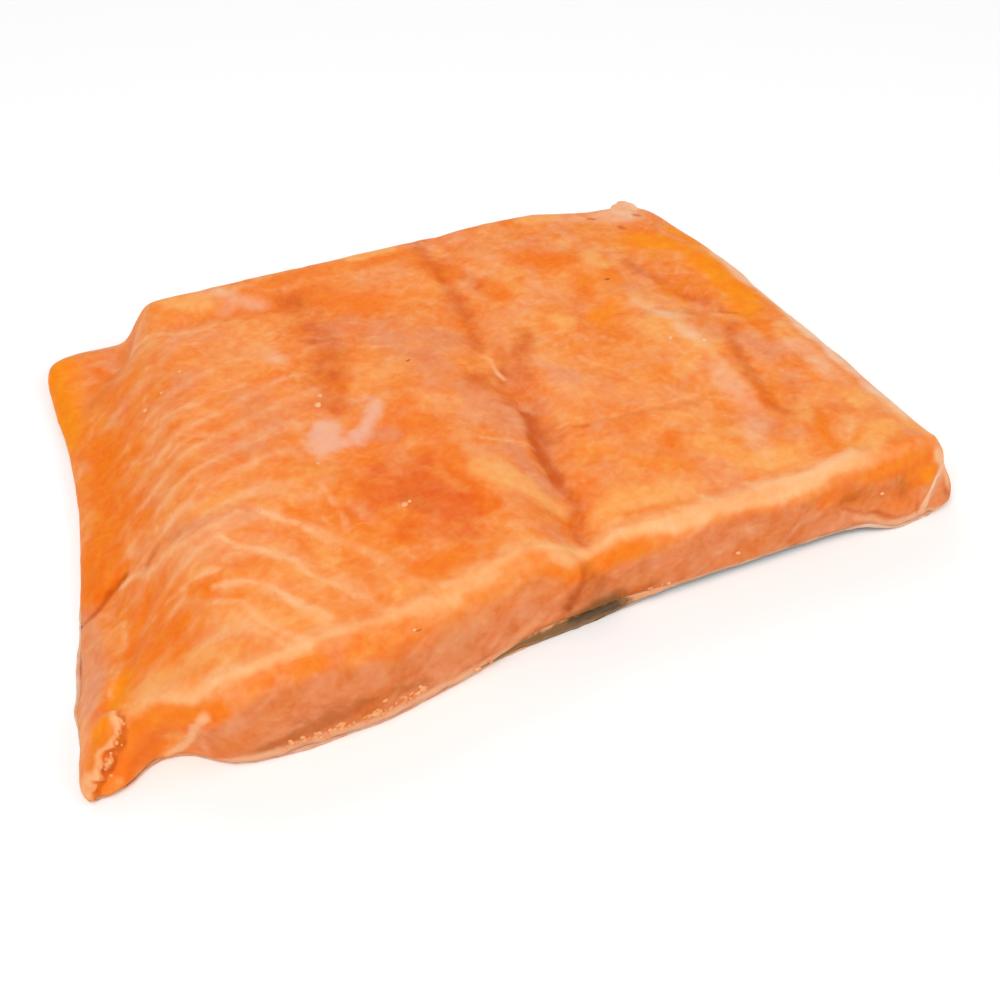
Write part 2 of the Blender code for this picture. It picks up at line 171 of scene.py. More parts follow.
def rise(start: float, end: float, at: Array) -> Array:
    """Smooth step from 0 at start to 1 at end, which may lie on either side of it."""
    share = np.clip((at - start) / (end - start), 0, 1)
    return share * share * (3 - 2 * share)


def bell(distance: Array, half: float | Array, power: float = 2) -> Array:
    """Bell of height 1 at no distance; a high power makes its top flat and its sides steep."""
    return np.exp(-np.abs(distance / half) ** power)


def along(x: Array, knots: Path) -> Array:
    """Value at each x of a line through knots, each an x and its value."""
    return np.interp(x, *zip(*knots))


def path_distance(at: Array, path: Path) -> Array:
    """Distance from each place to a path of straight runs.

    Args:
        at: places, one a row, with as many columns as the path's places have.
        path: places that the path runs through.

    Returns:
        Distance of each place.
    """
    knots = np.array(path, float)
    best = np.full(len(at), np.inf)
    for start, end in zip(knots[:-1], knots[1:]):
        run = end - start
        share = np.clip((at - start) @ run / (run @ run), 0, 1)
        best = np.minimum(best, np.linalg.norm(at - start - share[:, None] * run, axis=1))
    return best


def evenly(line: Array, step: float) -> Array:
    """Places along a line of straight runs, about a step apart, with both its ends."""
    total = np.concatenate([[0], np.cumsum(np.linalg.norm(np.diff(line, axis=0), axis=1))])
    at = np.linspace(0, total[-1], max(2, int(total[-1] / step) + 1))
    return np.stack([np.interp(at, total, column) for column in line.T], 1)


class SmoothNoise:
    """Smooth random field that is the same each run."""

    def __init__(self, seed: int) -> None:
        """Fill the field's lattice from a fixed seed."""
        self.side = 32
        self.lattice = np.random.default_rng(seed).uniform(-1, 1, (self.side,) * 3)

    def read(self, at: Array, cell: float) -> Array:
        """Read the field.

        Args:
            at: places in millimetres, three columns.
            cell: size of the field's lumps in millimetres.

        Returns:
            Values from -1 to 1.
        """
        scaled = at / cell + self.side
        corner = np.floor(scaled).astype(int)
        share = rise(0, 1, scaled - corner)
        out = np.zeros(len(at))
        for step in np.ndindex(2, 2, 2):
            i, j, k = ((corner + step) % self.side).T
            out += np.prod(np.where(step, share, 1 - share), axis=1) * self.lattice[i, j, k]
        return out

    def layered(self, at: Array, cell: float, layers: int = 3) -> Array:
        """Sum of layers of the field, each half as large and as high as the one before."""
        return sum(self.read(at + 7.3 * n, cell / 2 ** n) / 2 ** n for n in range(layers))


class Part(Enum):
    """Part of the flesh's surface, with the axes in which its places are given."""

    TOP = (0, 1)
    FRONT = (0, 2)
    ANY = (0, 1, 2)


class Mark(Enum):
    """Painted mark of the flesh; the value is the name of its vertex attribute."""

    DEEP = "deep"
    PEACH = "peach"
    VIVID = "vivid"
    RED = "red"
    ROSE = "rose"
    MILK = "milk"
    BROWN = "brown"
    TAWNY = "tawny"
    CUT = "cut"
    PALE = "pale"
    FROST = "frost"
    # painted shade: deeper red-orange laid in grooves, creases and crevices, and in small spots round the membrane tag
    HOLLOW = "hollow"
    GREEN = "green"
    RIM = "rim"


@dataclass(frozen=True)
class Line:
    """Soft mark, crease or ridge along a path.

    Its half width is in millimetres. The weight is how strongly a mark shows, or how high a ridge rises in
    millimetres; below 0 it is a crease.
    """

    path: Path
    half: float
    weight: float = 1.0
    part: Part = Part.TOP
    power: float = 2.0

    def cover(self, points: Array, shares: dict[Part, Array]) -> Array:
        """Weight of the line on each point.

        Args:
            points: places in millimetres.
            shares: how much each point belongs to each part.

        Returns:
            Values from 0 to the line's weight.
        """
        distance = path_distance(points[:, self.part.value], self.path)
        return self.weight * shares[self.part] * bell(distance, self.half, self.power)


# paths that are both painted and carved
FLAP_CREASE: Path = ((-56.9, -21.5), (-58.1, -24), (-60.7, -28.6), (-63.6, -35.7), (-67, -40.5))
BACK_CREASE: Path = ((51.1, -9.8), (49.8, -22), (48.9, -29.3))
ARCH_CREASE: Path = ((41, 7), (45.5, 7.6), (50.6, 5.1), (58, 1.5))
CROSS_CREASE: Path = ((12.7, -17.5), (23.9, -18.5), (32.3, -20.6), (40.1, -19.7))
BELLY_CREASE: Path = ((-67.5, -16.9), (-65.9, -16.7), (-64.2, -15.9), (-62.3, -14.3), (-59.6, -12.8))
BACK_FOLD: Path = ((44, 5), (44.9, -2.5), (45.6, -11.1), (46.6, -20.4))
BELLY_FOLD: Path = ((-53.5, -18.4), (-49.5, -20.2), (-45.5, -20.2), (-42, -19))
GROOVE_THREAD: Path = ((9.6, 6.6), (10, 3), (10.4, -1))
EDGE_THREAD: Path = ((24.6, -40.9), (25.1, -44.3))

# painted marks: half width, weight and places of each
PAINTED = {
    (Mark.DEEP, Part.TOP): (
        (4.0, 1.0, (-55.5, 19), (-57.5, 12), (-57.4, 4), (-59, -1), (-61, -5), (-63.8, -11.5)),
        (3.0, 0.8, (-54, 38), (-52, 31)), (1.6, 1.0, (-63.5, -13.4), (-65.6, -15.6)),
        (4.5, 0.7, (-29, 38), (-20, 37), (-10, 33), (-2, 30)), (2.6, 0.7, (-18, 43), (-4, 43.5), (6, 43)),
        (3.6, 0.7, (9, 42), (12, 37), (13, 33)), (4.0, 0.7, (28, 33), (33, 30), (37, 29)),
        # the stroke along FLAP_CREASE is painted shade beside the crease
        (2.6, 0.7, (36, 24), (35, 17)), (2.0, 1.0, *FLAP_CREASE), (4.2, 0.9, (-57, -24), (-59, -34)),
        (3.4, 0.7, (-55, -35), (-58, -43)), (1.8, 0.9, (-70, -40.5), (-69.6, -44)),
        (1.9, 0.9, (-34.2, -21.6), (-33.2, -23.2)), (1.7, 0.9, (-27.4, -20.5), (-26.6, -25)),
        (3.0, 0.5, (49.5, -36), (49, -40.5)), (5.0, 0.8, (-18, -8), (-9, -8), (-6, -12)),
        (3.5, 0.6, (-24, -16), (-14, -13)), (3.4, 0.7, (-20, -42), (-14, -41)),
        (2.0, 0.55, (-36, -46.5), (-24, -45), (-12, -43)), (1.6, 0.5, (9, -43.5), (14, -42.5), (22, -43)),
        (2.2, 0.9, (58.5, -45), (64.4, -45.5)), (2.6, 0.5, (45.8, -18), (44, -26)), (3.2, 0.8, (-17, 26), (-8, 22)),
        (2.6, 0.8, (-19, 10), (-17, 7)), (3.0, 0.7, (28, -28), (25, -34)), (2.6, 0.8, (-11.5, -15.7), (-10, -17)),
        (2.4, 0.8, (-6.6, -30), (-7, -33)), (3.2, 0.35, (-43.5, -21), (-39, -24)),
        (1.8, 0.9, (-55.6, -3.5), (-54.3, -8)), (2.0, 0.8, (-51.5, 14), (-51, 10)), (2.0, 0.8, (-52, 44), (-51, 40)),
        (1.8, 0.5, (-48.5, -37.5), (-46, -36)), (2.4, 0.8, (-22, -29), (-20.5, -33)),
        (2.6, 0.8, (-8, -18), (-8, -24), (-5.5, -27)), (2.4, 0.7, (18.5, 27), (20, 22)),
        (2.0, 0.6, (-52, -29), (-50, -33)), (2.4, 0.7, (59.3, -4.5), (58.5, -9)), (2.6, 0.8, (41.5, 19), (42.5, 27)),
        (1.6, 0.7, (53.5, -30), (50, -37)),
    ),
    (Mark.DEEP, Part.FRONT): (
        (1.8, 1.0, (-62.6, 7.6), (-59.5, 9.1), (-56.2, 11), (-54, 12)), (2.6, 1.0, (-71, 3), (-66, 4.5), (-63, 3.4)),
        (1.4, 1.0, (6.2, 13.1), (10.6, 13.6), (15.2, 13.8), (20, 13.6)), (3.2, 1.0, (55, 14), (60, 12.5), (66, 9)),
        (1.0, 0.8, (9, 4.3), (13, 4.4)), (2.6, 0.5, (-30, 13), (-12, 12), (-2, 11)),
        (3.4, 0.7, (46, 10), (56, 7.6), (62, 5)), (2.4, 1.0, (62, 9), (65, 9)),
    ),
    (Mark.DEEP, Part.ANY): (
        (1.7, 1.0, (-61.7, -46.2, 9.4), (-60.4, -46.8, 9.6), (-57, -49, 11.6)),
        (2.2, 1.2, (-64.4, -46.7, 7), (-66, -48, 4.6), (-67.6, -48.8, 2.4)),
    ),
    (Mark.PEACH, Part.TOP): (
        (3.0, 0.7, (-48, -40), (-43, -42.5), (-38, -44.5)), (2.6, 0.6, (-38.5, -34), (-35, -37)),
        (3.0, 0.8, (-36, 45), (-31, 42)), (3.0, 0.8, (-3.5, -25), (0, -29.5), (3.5, -33)),
        (3.0, 0.8, (9, -39.5), (14, -37), (24, -40)), (4.2, 0.35, (19, -8), (25, -12)),
        (4.2, 0.9, (44, 10), (46, 6), (42, 2)), (4.0, 0.5, (32, -24), (40, -32)),
        (4.0, 0.6, (42.5, -0.6), (44.9, -7), (40, -10)), (3.0, 0.5, (-46, -15), (-41, -14)),
        (2.6, 0.8, (-60, -41), (-55, -42.5), (-50, -44)), (2.6, 0.9, (61, -28.8), (61.6, -31)),
        (2.0, 0.9, (-2, 46.4), (6, 46.4)), (2.4, 0.9, (36, 46.8), (42, 46)),
        (3.0, 0.8, (32, -31), (36, -37), (43, -39)), (2.0, 0.9, (65.4, 24.5), (66, 21)),
        (2.6, 0.7, (27, 11), (26, 8)), (2.0, 0.7, (-31.7, -31), (-31.5, -34)),
        (2.0, 0.7, (-25.5, -44.5), (-23, -44.5)), (2.4, 0.9, (66.6, -34), (67.2, -41), (68.2, -45)),
        (2.2, 0.9, (55.8, -42.3), (59.2, -40), (62, -39.1)), (2.6, 0.8, (42, 25), (41, 28)),
    ),
    (Mark.PEACH, Part.ANY): (
        (1.0, 0.8, (-68.5, -49.2, 2), (-71, -49.5, 1)),
    ),
    (Mark.VIVID, Part.TOP): (
        (2.6, 0.9, (62.6, 34), (64.4, 29)), (2.6, 1.0, (55, 29.6), (59.5, 25)), (2.4, 0.8, (-65.5, -41), (-64, -36)),
        (4.2, 1.0, (-58.5, 47.5), (-60, 40), (-60.5, 34), (-61.4, 27)),
        (3.6, 1.0, (53.4, 32), (57, 29), (60.6, 23.8), (61.5, 17), (61, 6)), (4.0, 0.6, (60.5, 12), (59.5, 2)),
        (3.6, 0.5, (33, 9.4), (38, 12.6), (40.9, 18.9)), (2.0, 0.9, (64, -46.8), (65.6, -46.2)),
    ),
    (Mark.VIVID, Part.ANY): (
        (1.4, 0.8, (-68.3, -43.6, 8.4), (-69.6, -44.3, 7.4), (-70.4, -42.5, 6.4)),
        (1.4, 0.9, (65, -46.8, 9), (65.6, -47.2, 7.4)),
    ),
    (Mark.RED, Part.TOP): (
        (2.6, 0.6, (-20.5, -19), (-18.5, -22)), (2.2, 0.8, (-18.4, -27.6), (-17, -29)),
        (5.4, 0.95, (-22, -24.5), (-16, -22), (-13.4, -26), (-11.5, -31)), (3.4, 0.65, (-18, -17.5), (-12.5, -19)),
        (3.4, 0.6, (-19, -31.5), (-15, -34), (-12, -37)), (1.6, 0.5, (-21, -0.3), (-18.5, 0.6)),
    ),
    (Mark.ROSE, Part.TOP): (
        (3.0, 0.7, (43, -30), (46, -34)), (2.4, 0.7, (-17.2, -7.6), (-13, -9)),
        (3.2, 1.0, (2.4, -3), (4.6, -8), (6.0, -14.4)), (2.2, 0.8, (3.5, -20), (3.2, -25), (5, -30)),
        (5.0, 0.7, (-13, 24), (-4, 19), (4, 14), (0, 6)), (5.0, 0.6, (-31.9, 8.9), (-29.7, 2.1), (-36.3, -0.7)),
        (4.0, 0.5, (-45, 14), (-40, 20)), (2.6, 0.6, (-51, -16), (-46, -19.5), (-41, -19)),
        (3.6, 0.6, (24.5, -8.6), (19.2, -3.9)), (2.4, 0.9, (-67, -16.7), (-67.8, -23.4), (-68, -32), (-69.4, -35.8)),
        (3.6, 0.5, (40, 16), (45, 12), (50, -2)), (3.6, 0.7, (54, -8), (56, -14)),
    ),
    (Mark.MILK, Part.TOP): (
        (3.4, 0.4, (61, -13), (62.2, -18), (62.4, -24)), (1.8, 0.3, (-57, -10.6), (-51.4, -13), (-44, -12)),
        (2.6, 0.4, (-28, 44), (-22.5, 37.5)), (2.4, 0.4, (44.7, 0), (44.6, -3)),
        (2.6, 0.35, (-29.5, 37.7), (-26, 40)), (2.6, 0.35, (-24.5, 16.9), (-26, 21)),
        (2.2, 0.5, (66.2, -20), (66.2, -24)), (3.4, 0.36, (43.7, -12.5), (44.1, -24.7), (40.5, -35.1)),
        (2.0, 0.65, (65.8, 21), (66.8, 4), (66.6, -12), (66.4, -22), (67.4, -36)),
        (2.4, 0.36, (-30.6, -18.6), (-27, -17)), (3.9, 0.55, (51, 43), (56, 41)), (2.6, 0.35, (43, 45), (47, 43)),
        (2.4, 0.5, (41.5, 9.5), (45, 4)), (2.6, 0.2, (20, -9), (26, -10)),
    ),
    # brown: the strokes along the grooves and creases are painted shade there, the others brownish streaks in the flesh
    (Mark.BROWN, Part.TOP): (
        (2.4, 0.6, (12.9, 9), (12, 4), (9.5, -1)), (3.0, 0.4, (-5.5, 13.5), (-3, 11)),
        (2.0, 0.6, (12.2, -7), (11.6, -13), (11, -19)), (1.8, 0.5, (11.4, 6.5), (11, 3)),
        (2.8, 0.65, (19, 8.4), (14, 4.5), (12.4, -4.6)),
        (5.0, 0.65, (-16.5, 36.5), (-16, 28), (-14, 20), (-18, 12), (-20, 4)),
        (2.4, 0.7, (12.5, 46), (12, 37), (11.7, 31.6), (11.8, 24.5), (10.9, 17.6), (9.6, 9.6)),
        (2.8, 0.35, (16.4, 30), (16.4, 23)), (2.6, 0.75, (5.6, 0), (7, -4), (7.6, -7)),
        (1.8, 0.6, (46.5, 24.3), (48.6, 17.9), (51, 11.7), (55.3, 3.8)),
        (1.7, 0.7, (54.6, -1.6), (52, -6), (50.2, -10), (49, -18), (47.6, -28)), (1.8, 0.35, (54, -20), (52, -26)),
        (2.2, 0.7, (-18, -26), (-16, -30)),
    ),
    (Mark.TAWNY, Part.FRONT): (
        (1.5, 1.0, (-49.4, 3.2), (-44, 4.2), (-39.5, 5.6), (-35, 6.8)),
        (1.3, 0.6, (-35, 6.8), (-28.9, 6.2), (-25, 5.4)), (1.6, 0.45, (-43.7, 6.8), (-37, 8)),
        (1.2, 0.4, (-35, 4.4), (-12, 2.6)), (2.4, 0.6, (49.8, 8.5), (55, 9.2), (60, 8.4)),
        (1.5, 0.9, (7.9, 5.2), (11.8, 4.4), (15, 4.6)), (1.8, 0.75, (-0.6, 7), (1, 10), (2.6, 11), (5, 8.4)),
    ),
    (Mark.TAWNY, Part.ANY): (
        (1.0, 0.8, (69.3, -47.2, 4.6), (70.2, -47.4, 3)),
    ),
    (Mark.PALE, Part.TOP): (
        (1.0, 0.5, (-65.5, 10), (-67, 0), (-68.2, -10), (-69, -18)), (1.5, 0.45, *BACK_FOLD),
        # the first stroke below widens the pale crest of the near edge at the back: partly painted highlight, partly
        # paler membrane
        (1.7, 0.9, (34, -44), (41, -44.6), (47, -44), (51.6, -43.4)), (2.2, 0.45, (47, -42), (52, -39), (57, -36)),
        (0.9, 0.5, (-46.2, 41), (-42.8, 36.8), (-36.9, 34.5), (-27.2, 33.5)), (1.1, 0.6, *BELLY_FOLD),
        (1.0, 0.8, (-60.5, -14.6), (-58, -15.4), (-56, -18.4)),
        (0.8, 0.45, (-63.9, -18.5), (-61.5, -22.5), (-62.5, -28), (-66.5, -38)),
        (0.75, 0.5, (-30, -12.6), (-28.2, -16.1), (-27.2, -20.9), (-27, -25.3), (-27.5, -29.1)),
        (0.75, 0.7, (-38.5, -19.5), (-36.6, -21.2), (-33.7, -24.2), (-31.2, -28.7), (-29.4, -32.4)),
        (0.75, 0.7, (-45.1, -22.5), (-43.2, -25.2), (-39.7, -28.8), (-36.4, -32.7), (-33.2, -39.2), (-32, -43)),
        (0.75, 0.7, (-49.6, -32.3), (-45.6, -32.8), (-42.1, -35.9), (-38.9, -40.9), (-36.2, -45.6)),
        (0.75, 0.6, (-49.6, -34.8), (-46.7, -37.9), (-44, -42.5), (-42, -46), (-40.2, -48.9)),
        (0.7, 0.6, (-59.8, -27.5), (-55.8, -27.8), (-51.7, -28), (-48, -29)),
        (0.8, 0.45, (-48.5, 12.7), (-39.8, 12.4), (-30.7, 13.6)),
        (0.8, 0.45, (-54.8, 10.9), (-47, 3.6), (-37.1, 2.7)), (0.5, 0.8, *GROOVE_THREAD),
        (0.6, 0.35, (-26.5, 28), (-18.7, 25.5), (-11.8, 18.2), (-4.2, 13.8)),
        (0.6, 0.35, (-17.7, 28.7), (-10.8, 26.8), (-2.2, 19.2), (3.2, 13.4)), (0.55, 0.8, *EDGE_THREAD),
        (0.8, 0.4, (12, -16.5), (20, -17.2), (32, -19.2), (40, -18.3)),
        (0.6, 0.5, (-0.5, -16.5), (3, -17.5), (7.5, -20)),
    ),
    (Mark.PALE, Part.FRONT): (
        (3.0, 0.35, (28, 9), (36, 8), (36, 3)),
    ),
    (Mark.PALE, Part.ANY): (
        (1.5, 1.0, (67.5, -44.5, 11.5), (69, -45.1, 9.6)), (1.2, 0.8, (69.6, -44, 8.6), (70.6, -46.4, 5.6)),
        (1.0, 0.7, (52, -46.9, 5.2), (58, -47.8, 2.6), (64, -48.3, 1.6)),
        (0.8, 1.4, (-63.9, -46.2, 0.3), (-61.5, -45.8, 1.4), (-59.6, -46.8, 3), (-56.6, -49.9, 10.1),
         (-55.6, -50.2, 11.2)),
        (1.0, 0.7, (-74, -41, 1), (-73.6, -45, 2), (-73, -48, 1.4)),
    ),
    (Mark.FROST, Part.TOP): (
        (1.9, 0.9, (-22.5, -8.6), (-20, -8.2), (-17, -6), (-14.6, -3.6), (-13.4, -1)),
        (1.3, 0.6, (-13.4, -1), (-14, 1), (-16, 1.4)),
    ),
    (Mark.FROST, Part.ANY): (
        (1.1, 1.0, (69.2, -45.2, 9), (67.8, -46.6, 7), (66.4, -47.4, 5.4), (64.8, -48.1, 3)),
    ),
    # painted shade in the grooves and creases, and small spots of it round the membrane tag
    (Mark.HOLLOW, Part.TOP): (
        (1.2, 0.35, (12, 36), (11.7, 31.6), (11.8, 26)), (1.0, 0.3, (11.6, 23), (10.9, 17.6), (9.8, 12)),
        (1.6, 0.45, (11, 3), (10.8, -3), (10, -10)), (1.9, 1.0, (9.9, -11), (9, -16.3), (7.8, -23), (7.1, -28)),
        (1.5, 0.6, (7.1, -28), (6.9, -34), (5.4, -39), (4.3, -42.8)), (0.9, 0.5, (-18, 37.3), (-15, 34.2)),
        (0.9, 0.5, (-19.5, 31), (-15.2, 27.4)), (1.0, 0.45, (-18.7, 23.5), (-13.4, 20.4)),
        (1.0, 0.5, (-18.5, 13.5), (-16.6, 9.6)), (1.1, 0.4, *BACK_CREASE), (0.6, 0.9, (48, 43), (49, 42.4)),
        (0.6, 0.9, (57.2, 40.3), (57.8, 39.9)), (0.6, 1.0, (52.3, 37.4), (53.2, 37)), (0.7, 0.5, *ARCH_CREASE),
        (0.8, 0.4, *CROSS_CREASE), (0.8, 1.0, *BELLY_CREASE), (1.1, 0.7, (-57, -16.5), (-54.3, -15)),
        (1.0, 0.35, (-53.7, -15.4), (-49.8, -17.6), (-45.9, -17.7), (-43.3, -17)),
    ),
    (Mark.HOLLOW, Part.FRONT): (
        (0.9, 0.7, (2.8, 13.2), (1.7, 12.4), (0.6, 10.1), (0, 8), (-1.1, 5.6)),
        (0.6, 0.7, (49.8, 6.7), (56.2, 4.7), (64, 2.0)),
    ),
    (Mark.HOLLOW, Part.ANY): (
        (0.8, 0.5, (-70.8, -43, 5.6), (-69.6, -44.6, 7.2)), (0.7, 0.6, (63.2, -47.6, 7), (63.2, -48.2, 3.4)),
    ),
    (Mark.GREEN, Part.FRONT): (
        (2.6, 1.0, (-7, 0.6), (-2, 2), (2, 3), (6, 3.4), (10, 2.4)), (1.8, 0.4, (-0.4, 6.8), (4.6, 6.2)),
    ),
}
STROKES = (
    (Mark.FROST, Line(((-23, -3.8), (-24, -8)), 3.2, power=3.0)),
    *((mark, Line(tuple(path), half, weight, part))
      for (mark, part), rows in PAINTED.items() for half, weight, *path in rows),
)

# creases and ridges: half width, height and places of each
CARVED = {
    Part.TOP: (
        (1.4, -0.14, (12, 36), (11.7, 31.6), (11.8, 24.5), (10.9, 17.6), (9.8, 12)),
        (1.5, -0.35, (10, -6), (9, -16.3), (7.8, -23), (7.1, -29.1), (6.6, -34.3), (4.7, -42)),
        (0.8, -0.22, *CROSS_CREASE), (0.8, -0.25, *ARCH_CREASE), (1.5, -0.3, *BACK_CREASE),
        (1.0, -0.3, *BELLY_CREASE), (1.0, -0.15, (-57, -16.5), (-54.3, -15), (-49.8, -17.6), (-45.9, -17.7)),
        (1.0, -0.35, *FLAP_CREASE), (1.5, 0.12, *BACK_FOLD), (1.1, 0.12, *BELLY_FOLD),
        (1.6, 0.12, (-20, -8), (-17, -6), (-14.6, -3.6), (-13.4, -1)), (2.4, 0.16, (-23, -4.4), (-24, -7.6)),
        (1.2, -0.3, (48.8, 28.1), (48.4, 20), (50, 13.2), (53, 6.7)), (2.4, 0.2, (54, 32), (60.6, 23.8), (61, 10)),
        (0.7, 0.15, *GROOVE_THREAD), (0.6, 0.15, *EDGE_THREAD),
    ),
    Part.ANY: (
        (0.9, -0.6, (-65.6, -45.2, 8.2), (-65.6, -46.6, 7.6), (-66.3, -47.6, 6.3), (-67.9, -47.9, 5.1),
         (-69.2, -48.3, 3.9)),
        (1.0, 0.45, (-62.3, -45.8, 0.6), (-60.4, -46.6, 3), (-57.4, -49.6, 10.1), (-55, -50.2, 12.6)),
        (0.8, -0.4, (68, -46.6, 6.5), (66.9, -47.6, 4.2), (66.4, -48, 1.6)),
    ),
}
CARVES = tuple(Line(tuple(path), half, height, part) for part, rows in CARVED.items() for half, height, *path in rows)

# how strongly the pale ridge (partly painted highlight on the crest, partly paler membrane) and the deep band under it
# show along the near cut, from the belly to the back
RIDGE_ALONG = ((-67, 0), (-62, 0.7), (-55, 0.9), (-44, 0.8), (-36, 0.75), (-31, 0.5), (-24, 0.5), (-14, 0.55),
               (-8, 0.6), (-5, 0.35), (-3, 0.8), (1, 0.8), (4, 0.6), (8, 1), (18, 1), (30, 0.9), (40, 1), (50, 1),
               (55, 0.5), (62, 0.1))
BAND_ALONG = ((-68, 1), (-57, 0.9), (-52, 0.1), (-44, 0), (-33, 0.2), (-20, 0.35), (-2, 0.3), (3, 0.9), (11, 0.95),
              (17, 0.4), (24, 0), (44, 0), (52, 0.7), (68, 1))
# how far behind the cut's edge the ridge lies
RIDGE_BACK = ((-62, 1.8), (-50, 0.7), (-41, 1.5), (-28, 1.4), (-19, -0.7), (-6, 1.4), (1, 0.3), (9, 1.2), (18, -0.8),
              (50, -0.4))
# how high the pale rim of the foot reaches
RIM_TOP = ((-64, 1.2), (-57, 1.4), (-52, 3.8), (62, 3.8), (68, 2.4))


class NearCut:
    """The near cut's top edge, read from the flesh's own points."""

    BIN = 2.0
    SPAN = (-72.0, 74.0)
    LOOK = (-0.6, 0.8)
    DEPTH = -32.0
    FRONT_SPAN = (0.5, -0.7)

    def __init__(self, points: Array) -> None:
        """Find the edge in each slice of the flesh's near part, given its points in millimetres."""
        near = points[points[:, 1] < self.DEPTH]
        found = []
        for left in np.arange(*self.SPAN, self.BIN):
            slab = near[(near[:, 0] >= left) & (near[:, 0] < left + self.BIN)]
            if len(slab):
                found.append(slab[np.argmax(slab[:, 1:] @ np.array(self.LOOK))])
        edge = np.array(found)
        edge[1:-1] = (edge[:-2] + 2 * edge[1:-1] + edge[2:]) / 4
        self.edge = edge

    def below(self, points: Array) -> Array:
        """How far each point lies below the edge."""
        return along(points[:, 0], self.edge[:, ::2]) - points[:, 2]

    def behind(self, points: Array) -> Array:
        """How far each point lies behind the edge, along the fish."""
        return points[:, 1] - along(points[:, 0], self.edge[:, :2])

    def front(self, points: Array) -> Array:
        """Share of each point that belongs to the cut, and not to the top."""
        return rise(*self.FRONT_SPAN, self.behind(points))


@dataclass(frozen=True)
class FlakeFolds:
    """The folds of muscle: where each place lies between them."""

    pitch: float = 7.6
    offset: float = 0.8
    apex: tuple[float, float] = (-36.74, -18.31)
    axis: tuple[float, float] = (-0.47, -0.88)
    back_leg: tuple[float, float] = (0.486, -0.874)
    belly_leg: tuple[float, float] = (-0.948, -0.318)
    rounding: float = 2.5
    turn_mm: float = 6.0
    seam_x: float = -18.5
    loin_slope: float = 0.42
    back_x: float = 10.0
    back_slope: float = 0.16

    def phase(self, points: Array) -> Array:
        """Distance along the apex line in millimetres, the same all along a fold.

        Args:
            points: places in millimetres.

        Returns:
            Distance of each place.
        """
        px, py = points[:, 0] - self.apex[0], points[:, 1] - self.apex[1]
        ax, ay = self.axis
        past_seam, past_groove = (self.turn_mm * np.logaddexp(0, (points[:, 0] - x) / self.turn_mm)
                                  for x in (self.seam_x, self.back_x))
        flat = (self.loin_slope + self.back_leg[1] / self.back_leg[0]) * past_seam
        flat += (self.back_slope - self.loin_slope) * past_groove
        back, belly = ((px * ly - (py + rest) * lx) / (ax * ly - ay * lx)
                       for (lx, ly), rest in ((self.back_leg, flat), (self.belly_leg, 0.0)))
        return -self.rounding * np.logaddexp(-back / self.rounding, -belly / self.rounding)


@dataclass(frozen=True)
class Mottle:
    """One layer of mottling: its noise turns the colour one way where it is high, and another where it is low."""

    size_mm: float
    high: str
    low: str
    strength: float
    seed: float
    swirl: float = 0.6


@dataclass(frozen=True)
class Tone:
    """Colour that a painted mark gives the flesh, and the size of the noise that breaks up its edge."""

    mark: Mark
    colour: str
    strength: float = 1.0
    grain_mm: float = 3.0
    breakup: float = 1.0
    start: float = 0.15
    end: float = 0.95


